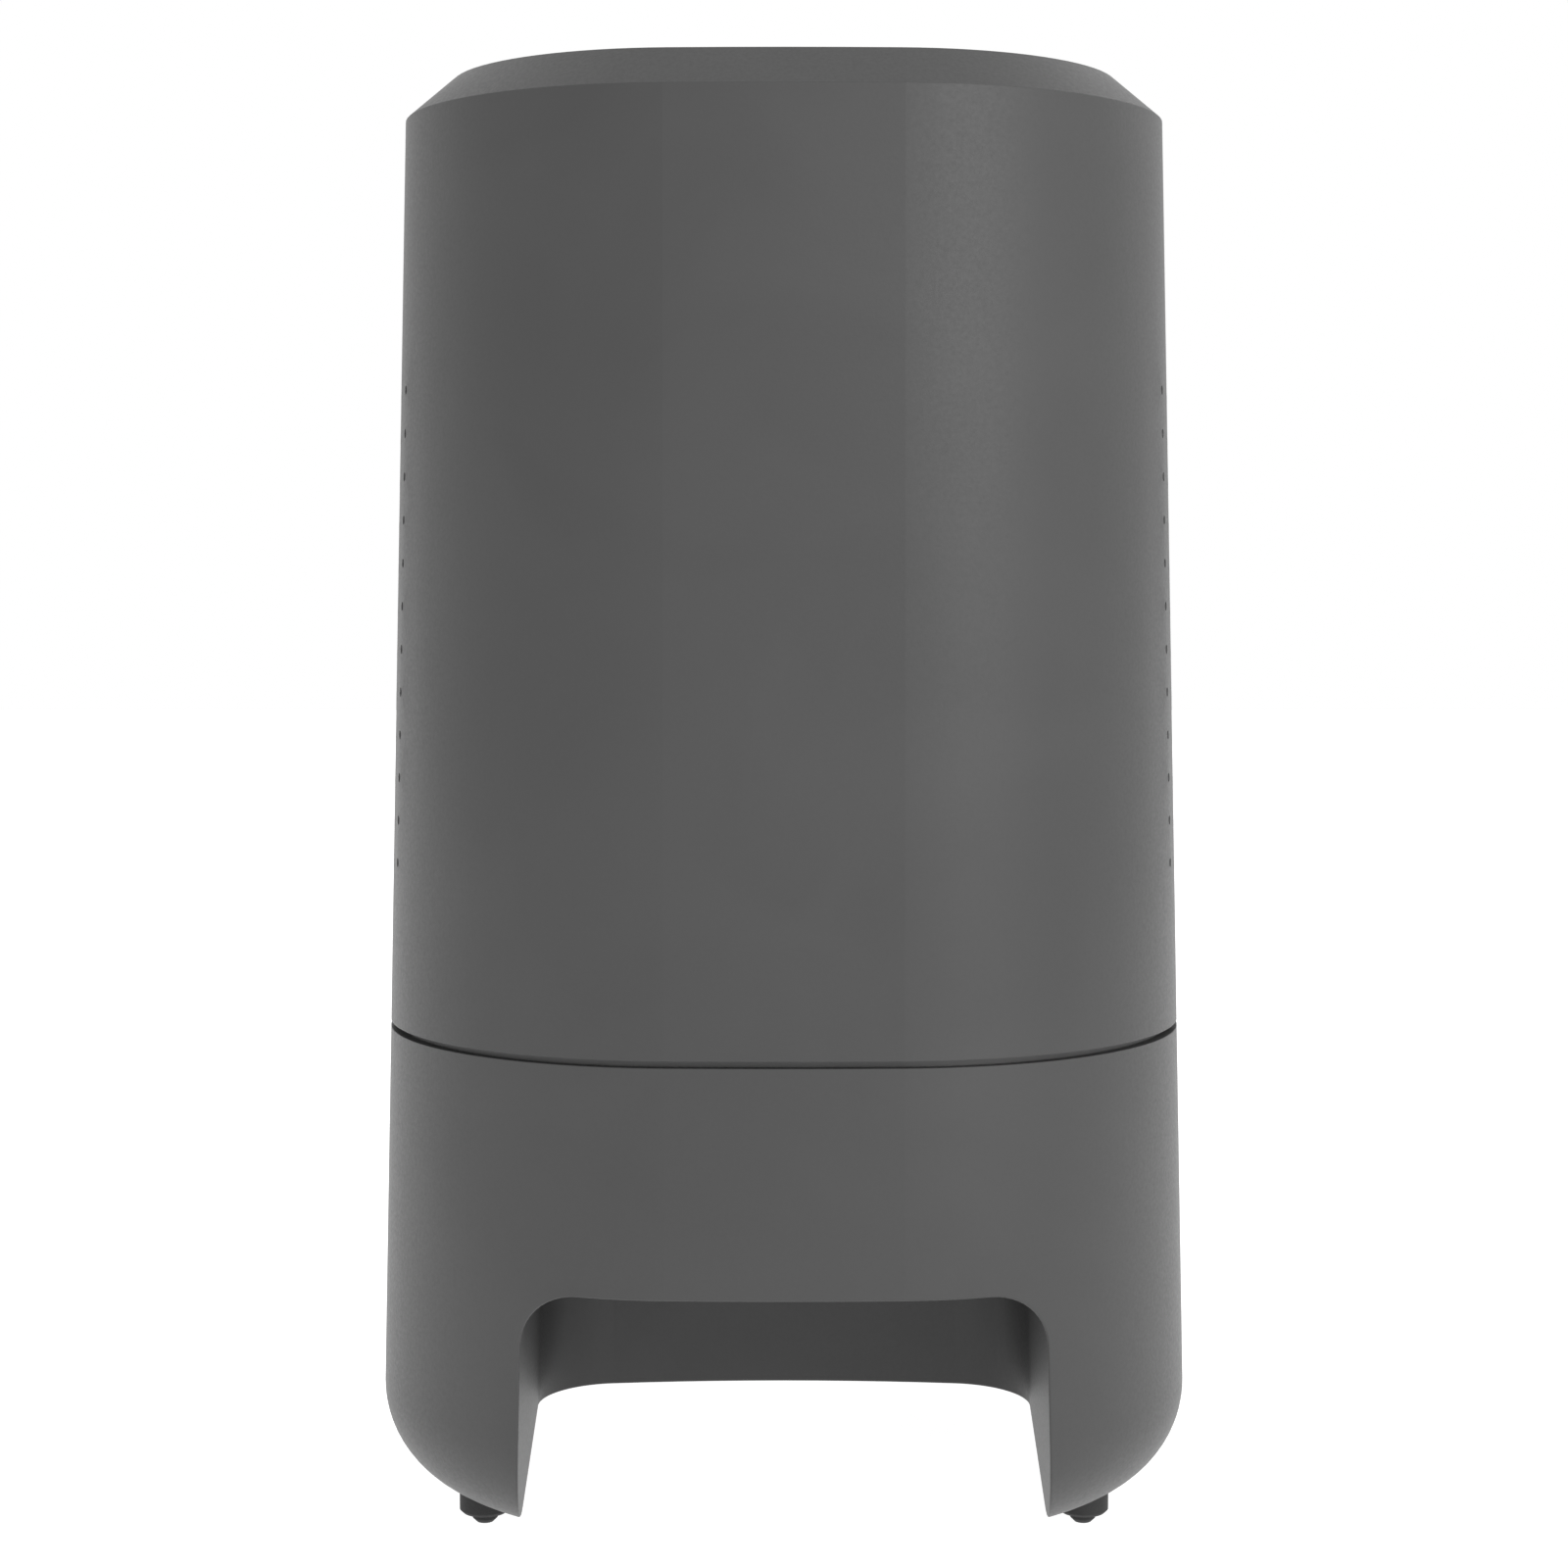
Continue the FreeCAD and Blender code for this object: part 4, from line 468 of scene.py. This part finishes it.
def bar(start, end, half):
    # plan outline of a straight bar with square ends
    along = (Vector(end) - Vector(start)).normalized() * half
    side = Vector((-along.y, along.x))
    a = Vector(start)
    b = Vector(end)
    return [tuple(a - side), tuple(b - side), tuple(b + side), tuple(a + side)]


def arcBand(centre, inner, outer, startDegrees, endDegrees, steps):
    # plan outlines of the quads that make a curved band
    quads = []
    for k in range(steps):
        a, b = (math.radians(startDegrees + (endDegrees - startDegrees) * (k + j) / steps) for j in (0, 1))
        quads.append([(centre[0] + r * math.cos(t), centre[1] + r * math.sin(t))
                      for r, t in ((inner, a), (outer, a), (outer, b), (inner, b))])
    return quads


display = {"digitHeight": 6.2 * mm, "digitWidth": 3.4 * mm, "stroke": 0.42 * mm, "gap": 2.0 * mm,
           "thick": 0.08 * mm, "segments": ("abcdfg", "abcdef"), "trim": 1.3, "firstAt": -0.8,
           "ringAt": 1.15, "ringRise": 0.6, "ringInner": 0.7 * mm, "ringOuter": 1.25 * mm, "ringSteps": 24}


def makeDisplay():
    # two seven-segment numerals and a small ring that stands for the humidity sign
    low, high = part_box("display_module")
    centre = (low + high) / 2
    tall = display["digitHeight"] / 2
    wide = display["digitWidth"] / 2
    trim = display["stroke"] * display["trim"]
    lines = {"a": ((-wide, tall), (wide, tall)), "b": ((wide, tall), (wide, 0)),
             "c": ((wide, 0), (wide, -tall)), "d": ((wide, -tall), (-wide, -tall)),
             "e": ((-wide, -tall), (-wide, 0)), "f": ((-wide, 0), (-wide, tall)),
             "g": ((-wide, 0), (wide, 0))}
    form = bmesh.new()
    pitch = display["digitWidth"] + display["gap"]
    for k, shown in enumerate(display["segments"]):
        shift = Vector((centre.x + (k + display["firstAt"]) * pitch, centre.y))
        for letter in shown:
            start, end = (Vector(p) + shift for p in lines[letter])
            step = (end - start).normalized() * trim
            slab(form, bar(start + step, end - step, display["stroke"]), high.z, high.z + display["thick"])
    spot = (centre.x + display["ringAt"] * pitch, centre.y + tall * display["ringRise"])
    for quad in arcBand(spot, display["ringInner"], display["ringOuter"], 0, 360, display["ringSteps"]):
        slab(form, quad, high.z, high.z + display["thick"])
    glow = glowingInk("ledSegments", {"dark": "#9fd8e8", "light": "#c8eef8", "glow": 4.0})
    addPiece("displayNumerals", meshFrom("displayNumerals", form), "housing", "display_plastic", glow)


# lengths in the three signs are shares of the radius
mark = {"radius": 2.2 * mm, "stroke": 0.28 * mm, "thick": 0.06 * mm}
powerSign = {"from": 130, "to": 410, "steps": 28, "barFrom": 0.3, "barTo": 1.25}
dropSign = {"drop": 0.35, "round": 0.75, "open": 25, "steps": 24, "tip": 1.75}
clockSign = {"steps": 32, "minuteHand": 0.65, "hourHand": 0.5}


def makeButtonMarks():
    # plain printed signs: on-off, drop and clock
    ink = glowingInk("padPrintInk", {"dark": "#b9bcbe", "light": "#cfd2d4", "glow": 0.0})
    size = mark["radius"]
    half = mark["stroke"]
    for name in ("power", "mode", "timer"):
        low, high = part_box("button_" + name)
        centre = (low + high) / 2
        spot = Vector((centre.x, centre.y))
        form = bmesh.new()
        outlines = []
        if name == "power":
            outlines += arcBand(spot, size - half, size + half, powerSign["from"], powerSign["to"],
                                powerSign["steps"])
            outlines.append(bar(spot + Vector((0, powerSign["barFrom"] * size)),
                                spot + Vector((0, powerSign["barTo"] * size)), half))
        elif name == "mode":
            lower = spot - Vector((0, dropSign["drop"] * size))
            bend = dropSign["round"] * size
            turn = math.radians(dropSign["open"])
            outlines += arcBand(lower, bend - half, bend + half, -180 - dropSign["open"], dropSign["open"],
                                dropSign["steps"])
            for side in (-1, 1):
                foot = lower + bend * Vector((side * math.cos(turn), math.sin(turn)))
                outlines.append(bar(foot, lower + Vector((0, dropSign["tip"] * size)), half))
        else:
            outlines += arcBand(spot, size - half, size + half, 0, 360, clockSign["steps"])
            outlines.append(bar(spot, spot + Vector((0, clockSign["minuteHand"] * size)), half))
            outlines.append(bar(spot, spot + Vector((clockSign["hourHand"] * size, 0)), half))
        for outline in outlines:
            slab(form, outline, high.z, high.z + mark["thick"])
        addPiece(name + "Mark", meshFrom(name + "Mark", form), name + "_button", "button_plastic", ink)


filterCloth = {"columns": 44, "rows": 59, "thick": 0.35 * mm, "slack": 0.5 * mm}


def makeFilterCloth(side):
    # one woven sheet held by its frame, bellied very slightly by the air drawn through it
    low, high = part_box("filter_mesh_" + side)
    inward = 1 if side == "left" else -1
    middle = (low.x + high.x) / 2
    wide = high.y - low.y
    tall = high.z - low.z
    form = bmesh.new()
    grid = []
    for r in range(filterCloth["rows"] + 1):
        line = []
        for c in range(filterCloth["columns"] + 1):
            u = c / filterCloth["columns"]
            v = r / filterCloth["rows"]
            belly = 16 * u * (1 - u) * v * (1 - v)
            line.append(form.verts.new((middle + inward * filterCloth["slack"] * (belly - 0.5),
                                        low.y + u * wide, low.z + v * tall)))
        grid.append(line)
    for r in range(filterCloth["rows"]):
        for c in range(filterCloth["columns"]):
            form.faces.new((grid[r][c], grid[r][c + 1], grid[r + 1][c + 1], grid[r + 1][c]))
    for face in form.faces:
        face.smooth = True
    name = "filterCloth" + side.capitalize()
    item = addPiece(name, meshFrom(name, form), "housing", "filter_fabric")
    thick = item.modifiers.new("thickness", "SOLIDIFY")
    thick.thickness = filterCloth["thick"]
    thick.offset = 0
    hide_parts("filter_mesh_" + side)


makeDisplay()
makeButtonMarks()
for side in ("left", "right"):
    makeFilterCloth(side)
print("display, button marks and filter cloths done")
